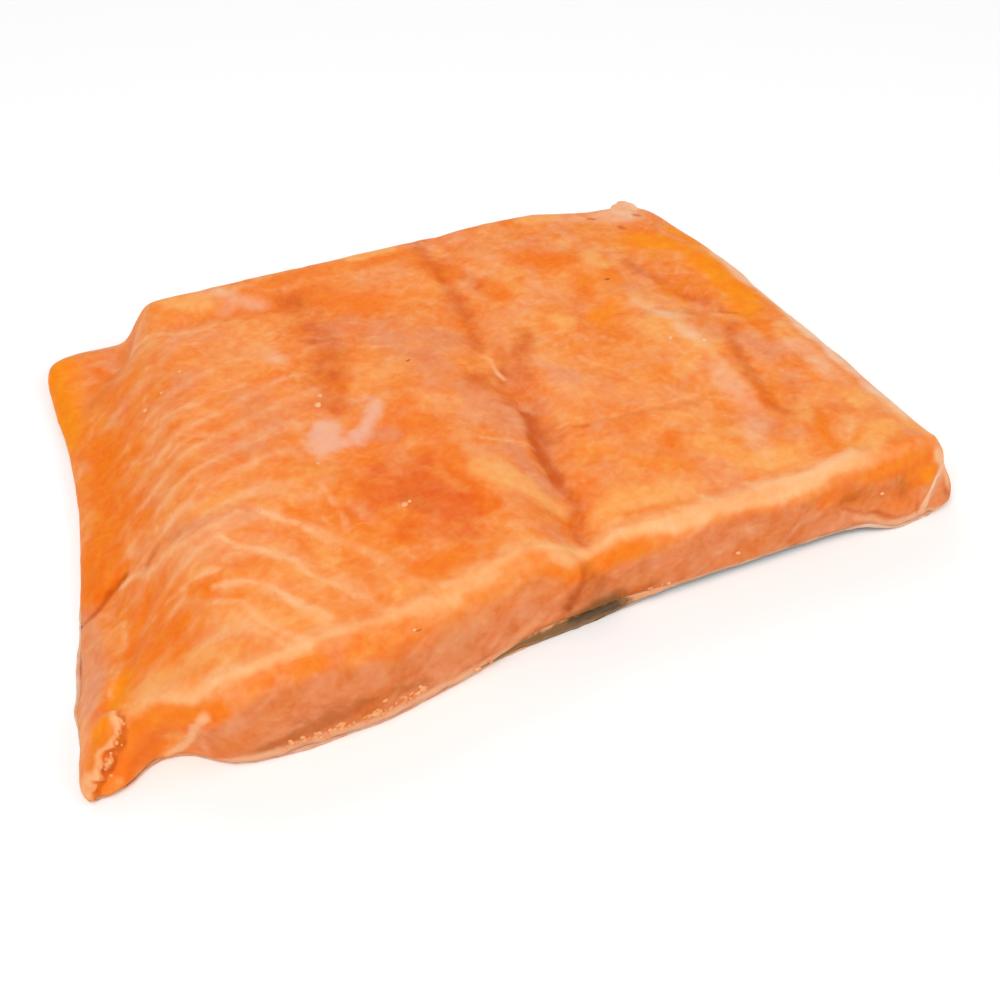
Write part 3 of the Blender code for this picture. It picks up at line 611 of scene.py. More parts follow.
@dataclass(frozen=True)
class RawSalmonFlesh:
    """Raw farmed salmon, cut with a knife: moist, soft and a little see-through.

    Light sinks in and comes out warmer, so the colour is cloudy at every scale. Pale walls between the flakes
    show through as soft streaks, and the wet face has faint highlights.
    """

    name: str = "raw_salmon_flesh"
    paler: str = "#FAA25C"
    middle: str = "#F68B3C"
    deeper: str = "#F37C1A"
    wall: str = "#FEC08C"
    # pale crest of the near cut: partly painted highlight, partly paler membrane
    ridge: str = "#FFC488"
    band: str = "#F58420"
    face: tuple[str, str, str] = ("#DC7636", "#E4824A", "#EA9060")
    fleck: str = "#EFA478"
    cloud_mm: float = 15.0
    face_mm: float = 6.0
    patch_mm: float = 5.0
    fibre_mm: float = 3.4
    fibre_long_mm: float = 22.0
    wall_mm: float = 1.1
    veil_mm: float = 2.2
    grain_mm: float = 0.6
    clouds: tuple[Mottle, ...] = (
        Mottle(7.0, "#FAA260", "#F57A12", 0.6, 1.0, 1.2),
        Mottle(11.0, "#EE9C74", "#FC9634", 0.5, 2.0, 1.0),
        Mottle(3.2, "#FBAE7A", "#F07818", 0.28, 3.0, 1.6),
    )
    shades: tuple[tuple[float, float], ...] = ((2.6, 0.4), (1.2, 0.3))
    tones: tuple[Tone, ...] = (
        Tone(Mark.DEEP, "#F57808", 0.9, 5.0, 0.9, 0.05, 0.8),
        Tone(Mark.PEACH, "#FDAC5E", 0.75, 5.0, 0.9, 0.05, 0.8),
        Tone(Mark.VIVID, "#FF8C00", 0.95, 5.0, 0.6, 0.05, 0.75),
        Tone(Mark.RED, "#E65C04", 0.8, 5.0, 0.9, 0.05, 1.0),
        Tone(Mark.ROSE, "#E88E60", 0.75, 5.0, 0.9, 0.05, 0.85),
        Tone(Mark.MILK, "#F6CBAA", 0.85, 5.0, 0.45, 0.05, 0.8),
        # brown: partly painted shade along the grooves and creases, partly brownish streaks
        Tone(Mark.BROWN, "#D85E0E", 0.7, 5.0, 1.0, 0.05, 1.0),
    )
    lines: tuple[Tone, ...] = (
        Tone(Mark.TAWNY, "#BC5A16", 0.75, 2.5, 1.2, 0.05, 1.1),
        # painted shade of the grooves, creases and crevices
        Tone(Mark.HOLLOW, "#C44A00", 0.75, 2.5, 0.8, 0.05, 1.1),
        Tone(Mark.PALE, "#FEC490", 0.75, 2.5, 0.9, 0.1, 1.1),
        Tone(Mark.FROST, "#F2BDA2", 0.68, 2.5, 0.9, 0.1, 1.1),
        Tone(Mark.GREEN, "#70481A", 0.85, 2.5, 0.6, 0.05, 1.1),
        Tone(Mark.RIM, "#F4B68C", 0.85, 2.5, 0.8, 0.1, 0.8),
    )

    def make(self) -> Material:
        """Build the material.

        Returns:
            The new material.
        """
        made, tree, place = begin(self.name)
        grains = self.grains(tree, place)
        colour = self.ground(tree, place)
        for tone in self.tones:
            colour = self.lay(tree, colour, tone, grains[tone.grain_mm])
        colour = self.fibres(tree, self.cut_face(tree, place, colour))
        for layer in (self.walls, self.near_edge, self.shaded):
            colour = layer(tree, place, colour)
        for tone in self.lines:
            colour = self.lay(tree, colour, tone, grains[tone.grain_mm])
        return dress(made, {"Roughness": 0.46, "IOR": 1.4, "Specular IOR Level": 0.14, "Subsurface Weight": 0.25,
                            "Subsurface Radius": (1.0, 0.42, 0.18), "Subsurface Scale": 2.0 * MM},
                     {"Base Color": colour, "Normal": self.surface(tree, place)})

    def ground(self, tree: Tree, place: Socket) -> Socket:
        """Cloudy orange that lies under everything else, with its layers of mottling.

        Args:
            tree: the material's node tree.
            place: Object coordinates.

        Returns:
            The colour.
        """
        colour, _ = cloudy(tree, place, {"Scale": 1 / (self.cloud_mm * MM), "Detail": 3.0, "Distortion": 0.5},
                           (0.34, self.paler), (0.5, self.middle), (0.68, self.deeper))
        for mottle in self.clouds:
            noise = add_node(tree, NOISE, {"W": mottle.seed, "Scale": 1 / (mottle.size_mm * MM), "Detail": 2.5,
                                           "Distortion": mottle.swirl},
                             {"Vector": place}, noise_dimensions="4D").outputs["Fac"]
            for other, start, end in ((mottle.high, 0.48, 0.72), (mottle.low, 0.52, 0.28)):
                colour = toward(tree, colour, other, noise, start, end, mottle.strength)
        return colour

    def shaded(self, tree: Tree, place: Socket, colour: Socket) -> Socket:
        """Fine unevenness that makes the colour a little paler or deeper, whatever it is.

        Args:
            tree: the material's node tree.
            place: Object coordinates.
            colour: colour so far.

        Returns:
            The colour with the unevenness.
        """
        for size_mm, reach in self.shades:
            noise = add_node(tree, NOISE, {"Scale": 1 / (size_mm * MM), "Detail": 1.0, "Distortion": 0.6},
                             {"Vector": place})
            power = add_node(tree, MATH, {1: reach, 2: 1 - reach / 2}, {0: noise.outputs["Fac"]},
                             operation="MULTIPLY_ADD")
            colour = add_node(tree, "ShaderNodeGamma", links={0: colour, 1: power.outputs[0]}).outputs[0]
        return colour

    def fibres(self, tree: Tree, colour: Socket) -> Socket:
        """Soft paler and deeper streaks that run along the muscle."""
        streak = self.streaks(tree)
        shown = add_node(tree, ATTRIBUTE, attribute_name="streaky").outputs["Fac"]
        colour = toward(tree, colour, self.wall, streak, 0.48, 0.78, 0.4, shown)
        return toward(tree, colour, self.deeper, streak, 0.5, 0.22, 0.4, shown)

    def streaks(self, tree: Tree) -> Socket:
        """Noise that is drawn out along the muscle."""
        flow = add_node(tree, ATTRIBUTE, attribute_name="flow").outputs["Vector"]
        drawn = add_node(tree, VECTOR_MATH, {1: (1 / self.fibre_mm, 1 / self.fibre_long_mm, 0.4)}, {0: flow},
                         operation="MULTIPLY").outputs["Vector"]
        return add_node(tree, NOISE, {"Scale": 1.0, "Detail": 1.0, "Roughness": 0.45, "Distortion": 0.2},
                        {"Vector": drawn}).outputs["Fac"]

    def wandering(self, tree: Tree, place: Socket, name: str, size_mm: float, reach_mm: float,
                  middle: float = 0.0) -> Socket:
        """Move a distance attribute to and fro by noise.

        Args:
            tree: the material's node tree.
            place: Object coordinates.
            name: name of the attribute, in millimetres.
            size_mm: size of the noise.
            reach_mm: how far it moves the distance.
            middle: distance that comes out as 0.

        Returns:
            The moved distance.
        """
        distance = add_node(tree, ATTRIBUTE, attribute_name=name).outputs["Fac"]
        noise = add_node(tree, NOISE, {"Scale": 1 / (size_mm * MM), "Detail": 1.5}, {"Vector": place}).outputs["Fac"]
        shift = add_node(tree, MATH, {1: 4 * reach_mm, 2: -2 * reach_mm - middle}, {0: noise},
                         operation="MULTIPLY_ADD").outputs[0]
        return add_node(tree, MATH, links={0: distance, 1: shift}, operation="ADD").outputs[0]

    def walls(self, tree: Tree, place: Socket, colour: Socket) -> Socket:
        """Thin pale walls between the flakes, each with a soft halo.

        Args:
            tree: the material's node tree.
            place: Object coordinates.
            colour: colour so far.

        Returns:
            The colour with the walls.
        """
        moved = self.wandering(tree, place, "wall", 11.0, 0.9)
        turn = add_node(tree, MATH, {1: FlakeFolds().pitch / 2}, {0: moved}, operation="PINGPONG").outputs[0]
        noise = add_node(tree, NOISE, {"Scale": 1 / (self.patch_mm * MM), "Detail": 2.0}, {"Vector": place})
        patchy = add_node(tree, MAP_RANGE, {1: 0.36, 2: 0.6, 3: 0.15, 4: 1.0}, {0: noise.outputs["Fac"]}).outputs[0]
        flaky = add_node(tree, ATTRIBUTE, attribute_name="flaky").outputs["Fac"]
        shown = add_node(tree, MATH, links={0: patchy, 1: flaky}, operation="MULTIPLY").outputs[0]
        for other, start, end, most in ((self.deeper, 0.8, 2.6, 0.25), (self.wall, 2.4, 0.0, 0.25),
                                        (self.wall, self.wall_mm, 0.0, 0.15)):
            colour = toward(tree, colour, other, turn, start, end, most, shown)
        return colour

    def near_edge(self, tree: Tree, place: Socket, colour: Socket) -> Socket:
        """Painted highlight and paler membrane along the top edge of the near cut, and the deeper band under it.

        Args:
            tree: the material's node tree.
            place: Object coordinates.
            colour: colour so far.

        Returns:
            The colour with both.
        """
        for name, other, middle, size_mm, reach_mm, half, most in (
                ("band", self.band, 2.0, 5.0, 0.6, 3.2, 0.9), ("ridge", self.ridge, -0.7, 6.0, 0.7, 3.2, 0.45),
                ("ridge", self.ridge, 0.1, 9.0, 0.35, 1.4, 0.6)):
            moved = self.wandering(tree, place, "edge", size_mm, reach_mm, middle)
            away = add_node(tree, MATH, links={0: moved}, operation="ABSOLUTE").outputs[0]
            shown = add_node(tree, ATTRIBUTE, attribute_name=name).outputs["Fac"]
            colour = toward(tree, colour, other, away, half, 0.0, most, shown)
        return colour

    def cut_face(self, tree: Tree, place: Socket, colour: Socket) -> Socket:
        """Pinker flesh of the cut itself, with pale flecks and streaks.

        Args:
            tree: the material's node tree.
            place: Object coordinates.
            colour: colour so far.

        Returns:
            The colour with the cut's own.
        """
        face, _ = cloudy(tree, place, {"Scale": 1 / (self.face_mm * MM), "Detail": 2.0, "Distortion": 0.8},
                         *zip((0.32, 0.5, 0.68), self.face))
        face = toward(tree, face, self.fleck, self.streaks(tree), 0.5, 0.85, 0.3)
        mark = add_node(tree, ATTRIBUTE, attribute_name=Mark.CUT.value).outputs["Fac"]
        share = add_node(tree, MAP_RANGE, {1: 0.1, 2: 0.9, 3: 0.0, 4: 0.92}, {0: mark},
                         interpolation_type="SMOOTHSTEP").outputs[0]
        return add_node(tree, MIX, links={0: share, 6: colour, 7: face}, data_type="RGBA").outputs[2]

    def grains(self, tree: Tree, place: Socket) -> dict[float, Socket]:
        """Noise round 0 that breaks up the tones' edges, one for each grain size."""
        out = {}
        for size_mm in sorted({tone.grain_mm for tone in self.tones + self.lines}):
            noise = add_node(tree, NOISE, {"Scale": 1 / (size_mm * MM), "Detail": 2.5, "Distortion": 0.8},
                             {"Vector": place}).outputs["Fac"]
            out[size_mm] = add_node(tree, MATH, {1: 0.5}, {0: noise}, operation="SUBTRACT").outputs[0]
        return out

    def lay(self, tree: Tree, colour: Socket, tone: Tone, grain: Socket) -> Socket:
        """Lay one tone over the colour where its mark is painted.

        Args:
            tree: the material's node tree.
            colour: colour so far.
            tone: what to lay over it.
            grain: noise round 0 that breaks up its edge.

        Returns:
            Colour with the tone.
        """
        mark = add_node(tree, ATTRIBUTE, attribute_name=tone.mark.value).outputs["Fac"]
        held = add_node(tree, MAP_RANGE, {1: 0.0, 2: 0.3, 3: 0.0, 4: tone.breakup}, {0: mark}).outputs[0]
        broken = add_node(tree, MATH, links={0: grain, 1: held, 2: mark}, operation="MULTIPLY_ADD").outputs[0]
        return toward(tree, colour, tone.colour, broken, tone.start, tone.end, tone.strength)

    def surface(self, tree: Tree, place: Socket) -> Socket:
        """Fine relief of the fibres and of the moist surface.

        Args:
            tree: the material's node tree.
            place: Object coordinates.

        Returns:
            The bent normal.
        """
        grain = add_node(tree, NOISE, {"Scale": 1 / (self.grain_mm * MM), "Detail": 2.0}, {"Vector": place})
        veil = add_node(tree, NOISE, {"Scale": 1 / (self.veil_mm * MM), "Detail": 3.0, "Distortion": 0.8},
                        {"Vector": place})
        normal = {}
        for height, strength, deep_mm in ((grain.outputs["Fac"], 0.2, 0.1), (veil.outputs["Fac"], 0.5, 0.25),
                                          (self.streaks(tree), 0.2, 0.1)):
            bump = add_node(tree, BUMP, {"Strength": strength, "Distance": deep_mm * MM}, {"Height": height, **normal})
            normal = {"Normal": bump.outputs["Normal"]}
        return normal["Normal"]


@dataclass(frozen=True)
class SoftFinish:
    """Moist bit of the portion, such as a membrane, a crumb, ice or a bubble, with a mottled colour."""

    name: str
    lighter: str
    darker: str
    mottle_mm: float
    roughness: float = 0.35
    transmission: float = 0.0
    subsurface: float = 0.0
    ior: float = 1.36
    bump: float = 0.2

    def make(self) -> Material:
        """Build the material.

        Returns:
            The new material.
        """
        made, tree, place = begin(self.name)
        colour, noise = cloudy(tree, place, {"Scale": 1 / (self.mottle_mm * MM), "Detail": 3.0},
                               (0.35, self.darker), (0.65, self.lighter))
        bump = add_node(tree, BUMP, {"Strength": self.bump, "Distance": 0.15 * MM}, {"Height": noise})
        return dress(made, {"Roughness": self.roughness, "IOR": self.ior, "Transmission Weight": self.transmission,
                            "Subsurface Weight": self.subsurface, "Subsurface Radius": (1.0, 0.6, 0.4),
                            "Subsurface Scale": 1.0 * MM},
                     {"Base Color": colour, "Normal": bump.outputs["Normal"]})


# thin belly membrane: matt, milky and a little darker where it is thin
MEMBRANE = SoftFinish("pale_membrane", "#F8C69C", "#F2AC7C", 2.6, 0.45)
# torn bits of flesh: paler than the flesh, because they have dried at their faces
CRUMB = SoftFinish("salmon_crumb", "#FBB478", "#F0904C", 1.6, 0.5)
# ice glaze over flesh: milky, smooth and warm with the flesh behind it
ICE = SoftFinish("milky_ice_glaze", "#FBD2B6", "#F3AE86", 3.0, 0.25, 0.15, 0.4, 1.31, 0.1)
# air in the glaze: small pale beads
BUBBLE = SoftFinish("ice_bubble", "#FCC496", "#F6A46C", 0.8, 0.35, ior=1.31, bump=0.1)
# scrap of dried blood: brown and matt
SPECK = SoftFinish("dark_speck", "#CC7434", "#A45A28", 0.5, 0.5)


@dataclass(frozen=True)
class FishSkin:
    """Salmon skin, scaled on: small overlapping scales, silvery at the belly and grey-green towards the back."""

    name: str = "salmon_fish_skin"
    back: str = "#5E6150"
    belly: str = "#B9B7A8"
    dark: str = "#3E3A2C"
    stains: tuple[tuple[Mark, str], ...] = (
        (Mark.RIM, "#F0A878"), (Mark.GREEN, "#8A5E28"), (Mark.BROWN, "#54380E"), (Mark.PALE, "#B08040"),
    )
    scale_mm: float = 2.4
    blur_mm: float = 1.8
    belly_x: float = -60.0
    back_x: float = 20.0

    def make(self) -> Material:
        """Build the material.

        Returns:
            The new material.
        """
        made, tree, place = begin(self.name)
        across = add_node(tree, "ShaderNodeSeparateXYZ", links={0: place}).outputs["X"]
        side = add_node(tree, MAP_RANGE, {1: self.belly_x * MM, 2: self.back_x * MM}, {0: across}).outputs[0]
        colour = add_node(tree, MIX, {6: linear(self.belly), 7: linear(self.back)}, {0: side},
                          data_type="RGBA").outputs[2]
        scales = add_node(tree, "ShaderNodeTexVoronoi", {"Scale": 1 / (self.scale_mm * MM), "Randomness": 0.35},
                          {"Vector": place}, feature="F1").outputs["Distance"]
        edge = add_node(tree, MAP_RANGE, {1: 0.35, 2: 0.6, 3: 0.0, 4: 0.55}, {0: scales}).outputs[0]
        colour = add_node(tree, MIX, {7: linear(self.dark)}, {0: edge, 6: colour}, data_type="RGBA").outputs[2]
        blur = add_node(tree, NOISE, {"Scale": 1 / (self.blur_mm * MM), "Detail": 2.0, "Distortion": 1.0},
                        {"Vector": place}).outputs["Fac"]
        for stain, code in self.stains:
            mark = add_node(tree, ATTRIBUTE, attribute_name=stain.value).outputs["Fac"]
            both = add_node(tree, MATH, links={0: mark, 1: blur}, operation="ADD").outputs[0]
            colour = toward(tree, colour, code, both, 0.65, 1.2, 1.0)
        bump = add_node(tree, BUMP, {"Strength": 0.5, "Distance": 0.2 * MM}, {"Height": scales}, invert=True)
        return dress(made, {"Roughness": 0.45, "Specular IOR Level": 0.2},
                     {"Base Color": colour, "Normal": bump.outputs["Normal"]})


def read_points(mesh: Mesh, normals: bool = False) -> Array:
    """Vertices of a mesh in millimetres, or their normals, one a row."""
    out = np.empty(len(mesh.vertices) * 3)
    rows, key = (mesh.vertex_normals, "vector") if normals else (mesh.vertices, "co")
    rows.foreach_get(key, out)
    return out.reshape(-1, 3) / (1 if normals else MM)


def write_points(mesh: Mesh, points: Array) -> None:
    """Put a mesh's vertices at places in millimetres."""
    mesh.vertices.foreach_set("co", (points * MM).ravel())
    mesh.update()


def write_attributes(mesh: Mesh, **columns: Array) -> None:
    """Write attributes of a mesh's vertices, each of one number or of three."""
    for name, values in columns.items():
        kind, key = ("FLOAT", "value") if values.ndim == 1 else ("FLOAT_VECTOR", "vector")
        mesh.attributes.new(name, kind, "POINT").data.foreach_set(key, values.ravel())


def placed(name: str, mesh: Mesh, finish: Material | None = None) -> Piece:
    """Put a mesh into the scene under a name, with one material where it has none yet."""
    piece = bpy.data.objects.new(name, mesh)
    bpy.context.scene.collection.objects.link(piece)
    if finish:
        mesh.materials.append(finish)
    return piece


def settled(piece: Piece, smooth: bool = False) -> Piece:
    """Make what an object's modifiers give its own plain mesh, and remove them.

    Args:
        piece: object with modifiers.
        smooth: whether to shade it smooth.

    Returns:
        The same object.
    """
    mesh = bpy.data.meshes.new_from_object(piece.evaluated_get(bpy.context.evaluated_depsgraph_get()))
    piece.modifiers.clear()
    piece.data = mesh
    mesh.name = piece.name
    if smooth:
        mesh.shade_smooth()
    return piece


def cad_copy(node: str) -> bmesh.types.BMesh:
    """Copy a CAD node's mesh, with its loose triangles joined up."""
    work = bmesh.new()
    work.from_mesh(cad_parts[node].data)
    bmesh.ops.remove_doubles(work, verts=work.verts, dist=1e-6)
    return work


def dense_copy(node: str, name: str, levels: int, finish: Material, sharp_below: float) -> Piece:
    """Copy a CAD node's mesh, join its triangles in pairs and subdivide it.

    Args:
        node: name of the CAD node.
        name: name of the new piece.
        levels: how many times to subdivide.
        finish: its material.
        sharp_below: height in millimetres under which sharp edges stay sharp.

    Returns:
        The new piece.
    """
    work = cad_copy(node)
    bmesh.ops.join_triangles(work, faces=work.faces, angle_face_threshold=math.radians(50),
                             angle_shape_threshold=math.radians(60))
    crease = work.edges.layers.float.new("crease_edge")
    for edge in work.edges:
        low = max(vert.co.z for vert in edge.verts) < sharp_below * MM
        foot = min(face.normal.z for face in edge.link_faces) < -0.3
        if (low or foot) and len(edge.link_faces) == 2 and edge.calc_face_angle() > math.radians(45):
            edge[crease] = 1.0
    mesh = bpy.data.meshes.new(name)
    work.to_mesh(mesh)
    work.free()
    mesh.materials.clear()
    piece = placed(name, mesh, finish)
    dense = piece.modifiers.new("dense", "SUBSURF")
    dense.levels = dense.render_levels = levels
    return settled(piece, True)


def refine(piece: Piece, low: Place, high: Place, longest: float) -> None:
    """Cut a piece's long edges inside a box, so that small forms have points to rest on.

    Args:
        piece: the piece.
        low: lowest corner of the box in millimetres.
        high: highest corner of the box in millimetres.
        longest: length in millimetres above which an edge is cut.
    """
    work = bmesh.new()
    work.from_mesh(piece.data)
    for _ in range(3):
        inside = {vert for vert in work.verts if all(a < at / MM < b for a, at, b in zip(low, vert.co, high))}
        long = [edge for edge in work.edges if edge.calc_length() > longest * MM and inside.issuperset(edge.verts)]
        bmesh.ops.subdivide_edges(work, edges=long, cuts=1, use_grid_fill=True)
    bmesh.ops.triangulate(work, faces=[face for face in work.faces if len(face.verts) > 4])
    work.to_mesh(piece.data)
    work.free()
    piece.data.shade_smooth()


def foot_line(node: str) -> Array:
    """Find the line round a node's underside, where its side starts.

    Args:
        node: name of the CAD node.

    Returns:
        The line's places in millimetres, once round.
    """
    work = cad_copy(node)
    onward = {}
    for edge in work.edges:
        under = [face for face in edge.link_faces if face.normal.z < -0.8]
        if len(under) == 1:
            loop = next(one for one in under[0].loops if one.edge == edge)
            onward[loop.vert] = loop.link_loop_next.vert
    line, vert = [], max(onward, key=lambda vert: vert.co.x)
    while vert in onward:
        line.append(tuple(vert.co))
        vert = onward.pop(vert)
    work.free()
    return np.array(line) / MM


@dataclass
class Flesh:
    """The salmon flesh with its relief and its painted marks."""

    finish: RawSalmonFlesh = field(default_factory=RawSalmonFlesh)
    folds: FlakeFolds = field(default_factory=FlakeFolds)
    levels: int = 2
    sharp_below: float = 2.5
    corner: Path = ((-80, -60, -1), (-62, -38, 20))
    corner_mm: float = 0.45
    swell_mm: float = 7.0
    swell_height: float = 0.16
    fibre_mm: float = 3.6
    fibre_long_mm: float = 12.0
    fibre_height: float = 0.09
    wall_half: float = 0.8
    wall_height: float = 0.08
    ridge_half: float = 0.9
    ridge_height: float = 0.15
    teeth_mm: float = 1.8
    teeth_out: float = 0.45
    lip: Path = ((-72.4, -48.8, 2), (-71, -48.2, 3.4), (-69.8, -47.8, 4.5), (-68.7, -47.4, 5.8), (-67.1, -47.3, 6.8),
                 (-66.4, -46.1, 7.9), (-66.7, -44.3, 8.7))
    lip_half: float = 2.8
    lip_height: float = 0.75
    lip_ragged: float = 1.0
    lip_mm: float = 1.6
    warp_mm: float = 6.0
    warp_out: float = 0.8
    uneven: float = 0.3
    uneven_mm: float = 5.0

    def build(self) -> Piece:
        """Make the piece, shape its surface and paint its marks.

        Returns:
            The finished piece.
        """
        piece = dense_copy("salmon_flesh", "flesh_surface", self.levels, self.finish.make(), self.sharp_below)
        refine(piece, *self.corner, self.corner_mm)
        mesh = piece.data
        self.points = read_points(mesh)
        self.cut = NearCut(self.points)
        self.front = self.cut.front(self.points)
        self.shares = {Part.TOP: 1 - self.front, Part.FRONT: self.front, Part.ANY: 1.0}
        x, y = self.points[:, 0], self.points[:, 1]
        self.flaky = rise(-66, -54, x) * rise(-14, -27, x) * rise(36, 4, y) * (1 - self.front)
        self.phase = self.folds.phase(self.points)
        self.ledge = self.ledge_share(-0.15, 0.35)
        self.paint(mesh)
        write_points(mesh, self.points + self.relief(read_points(mesh, True)))
        self.tree = BVHTree.FromPolygons([v.co for v in mesh.vertices], [p.vertices for p in mesh.polygons])
        return piece

    def ledge_share(self, start: float, end: float) -> Array:
        """How much each point belongs to the torn lip of the corner flap, which ends in a ragged step.

        Args:
            start: distance inside the lip's edge in millimetres where the share starts to rise.
            end: distance where it is full.

        Returns:
            Share of each point.
        """
        across, _, up = zip(*self.lip)
        side = np.interp(self.points[:, 2], up, across) - self.points[:, 0]
        side += self.lip_ragged * SmoothNoise(6).layered(self.points, self.lip_mm, 2)
        return rise(start, end, side) * bell(path_distance(self.points, self.lip), self.lip_half, 3)

    def relief(self, normals: Array) -> Array:
        """Small moves of the surface, along its normals.

        Args:
            normals: normal of each point.

        Returns:
            Move of each point in millimetres.
        """
        points, top = self.points, (1 - self.front) * rise(0.1, 0.5, normals[:, 2])
        shares = {**self.shares, Part.TOP: top}
        height = self.swell_height * SmoothNoise(3).layered(points, self.swell_mm)
        flow = np.stack([self.phase / self.fibre_mm, *(points[:, ::2] / self.fibre_long_mm).T], 1)
        height += self.fibre_height * SmoothNoise(4).read(flow, 1.0) * top
        turn = (self.phase - self.folds.offset) / self.folds.pitch
        near_wall = np.abs((turn + 0.5) % 1 - 0.5) * self.folds.pitch
        height += self.wall_height * bell(near_wall, self.wall_half) * self.flaky
        for carve in CARVES:
            height += carve.cover(points, shares)
        away = np.hypot(self.cut.behind(points), self.cut.below(points))
        height += self.ridge_height * bell(away, self.ridge_half)
        foot = rise(3.0, 0.6, points[:, 2]) * rise(0.5, 0.9, np.abs(normals[:, 1]))
        height += self.teeth_out * SmoothNoise(5).layered(points, self.teeth_mm, 2) * foot * self.front
        height += self.lip_height * self.ledge
        return height[:, None] * normals

    def paint(self, mesh: Mesh) -> None:
        """Write the marks, the flow of the fibres and the place between the flakes as attributes.

        Args:
            mesh: the piece's mesh.
        """
        front, (x, _, z) = self.front, self.points.T
        warp = np.stack([SmoothNoise(seed).layered(self.points, self.warp_mm, 2) for seed in (11, 12, 13)], 1)
        moved = self.points + self.warp_out * warp
        uneven = 1 + self.uneven * SmoothNoise(14).layered(self.points, self.uneven_mm, 2)
        cover = {mark: np.zeros(len(moved)) for mark in Mark}
        for mark, line in STROKES:
            cover[mark] = np.maximum(cover[mark], line.cover(moved, self.shares) * uneven)
        below, behind = self.cut.below(moved), self.cut.behind(moved)
        past_fold = rise(-1.2, 0.6, x + 62 - 0.72 * z)
        deep, vivid, green = (np.clip(cover[mark], 0, 1) for mark in (Mark.DEEP, Mark.VIVID, Mark.GREEN))
        cover[Mark.CUT] = front * rise(0.6, 4.6, below) * past_fold * (1 - 0.85 * deep)
        cover[Mark.PALE] = np.maximum(cover[Mark.PALE], 0.9 * (self.ledge - self.ledge_share(0.6, 2.2)))
        # painted shade in the crevice beside the corner flap's lip
        cover[Mark.HOLLOW] = np.maximum(cover[Mark.HOLLOW], 0.8 * (self.ledge_share(-1.5, -0.4) - self.ledge))
        cover[Mark.RIM] = rise(1, 0.35, z / along(x, RIM_TOP)) * (1 - green)
        write_attributes(mesh, **{mark.value: np.clip(values, 0, 1) for mark, values in cover.items()})
        plain = 1 - 0.8 * np.maximum(deep, vivid)
        across = self.phase * (1 - front) + front * (0.62 * moved[:, 0] - 0.78 * moved[:, 2])
        lengthwise = moved[:, 0] * (1 - front) + front * (0.78 * moved[:, 0] + 0.62 * moved[:, 2])
        write_attributes(
            mesh, flaky=self.flaky * plain, streaky=(0.25 + 0.25 * self.flaky + 0.25 * front) * plain,
            edge=front * below - (1 - front) * behind + along(x, RIDGE_BACK), ridge=along(x, RIDGE_ALONG),
            band=along(x, BAND_ALONG), wall=self.phase - self.folds.offset,
            flow=np.stack([across, lengthwise, moved[:, 2] / 4], 1))

    def lay_on(self, places: Array, lift: float | Array = 0.0) -> tuple[Array, Array]:
        """Move places to the nearest point of the surface.

        Args:
            places: places in millimetres.
            lift: how far above the surface to put them.

        Returns:
            The moved places, and the surface's normals there.
        """
        found = [self.tree.find_nearest(Vector(place) * MM) for place in places]
        normals = np.array([normal for _, normal, _, _ in found])
        lifts = np.broadcast_to(lift, len(places))[:, None]
        return np.array([point for point, _, _, _ in found]) / MM + lifts * normals, normals


@dataclass
class Skin:
    """The skin under the flesh, turned up into view in the middle of the near cut."""

    finish: FishSkin = field(default_factory=FishSkin)
    levels: int = 2
    sharp_below: float = 10.0
    wave_mm: float = 4.0
    wave_height: float = 0.06
    sliver: Path = ((-12, 0), (-4, 0.9), (0, 2), (4, 2.4), (9, 1.6))
    sliver_half: float = 2.2
    core: Path = ((1.0, 3.4), (5.0, 2.8), (8.0, 2.4))
    core_half: float = 1.6

    def build(self) -> Piece:
        """Make the piece with a slightly uneven surface.

        Returns:
            The finished piece.
        """
        piece = dense_copy("salmon_skin", "skin_surface", self.levels, self.finish.make(), self.sharp_below)
        points, normals = read_points(piece.data), read_points(piece.data, True)
        face, near = points[:, Part.FRONT.value], rise(-40, -43, points[:, 1])
        shown = rise(-0.7, -0.3, normals[:, 2])
        sliver = shown * near * bell(path_distance(face, self.sliver), self.sliver_half, 3)
        core = bell(path_distance(face, self.core), self.core_half)
        stains = {Mark.RIM: shown, Mark.GREEN: sliver, Mark.BROWN: sliver * core,
                  Mark.PALE: sliver * rise(1.3, 0.4, points[:, 2])}
        write_attributes(piece.data, **{mark.value: values for mark, values in stains.items()})
        height = self.wave_height * SmoothNoise(21).layered(points, self.wave_mm)
        side = rise(0.5, 0.9, np.abs(normals[:, 1])) * near
        height += Flesh.teeth_out * SmoothNoise(5).layered(points, Flesh.teeth_mm, 2) * side
        write_points(piece.data, points + height[:, None] * normals)
        return piece


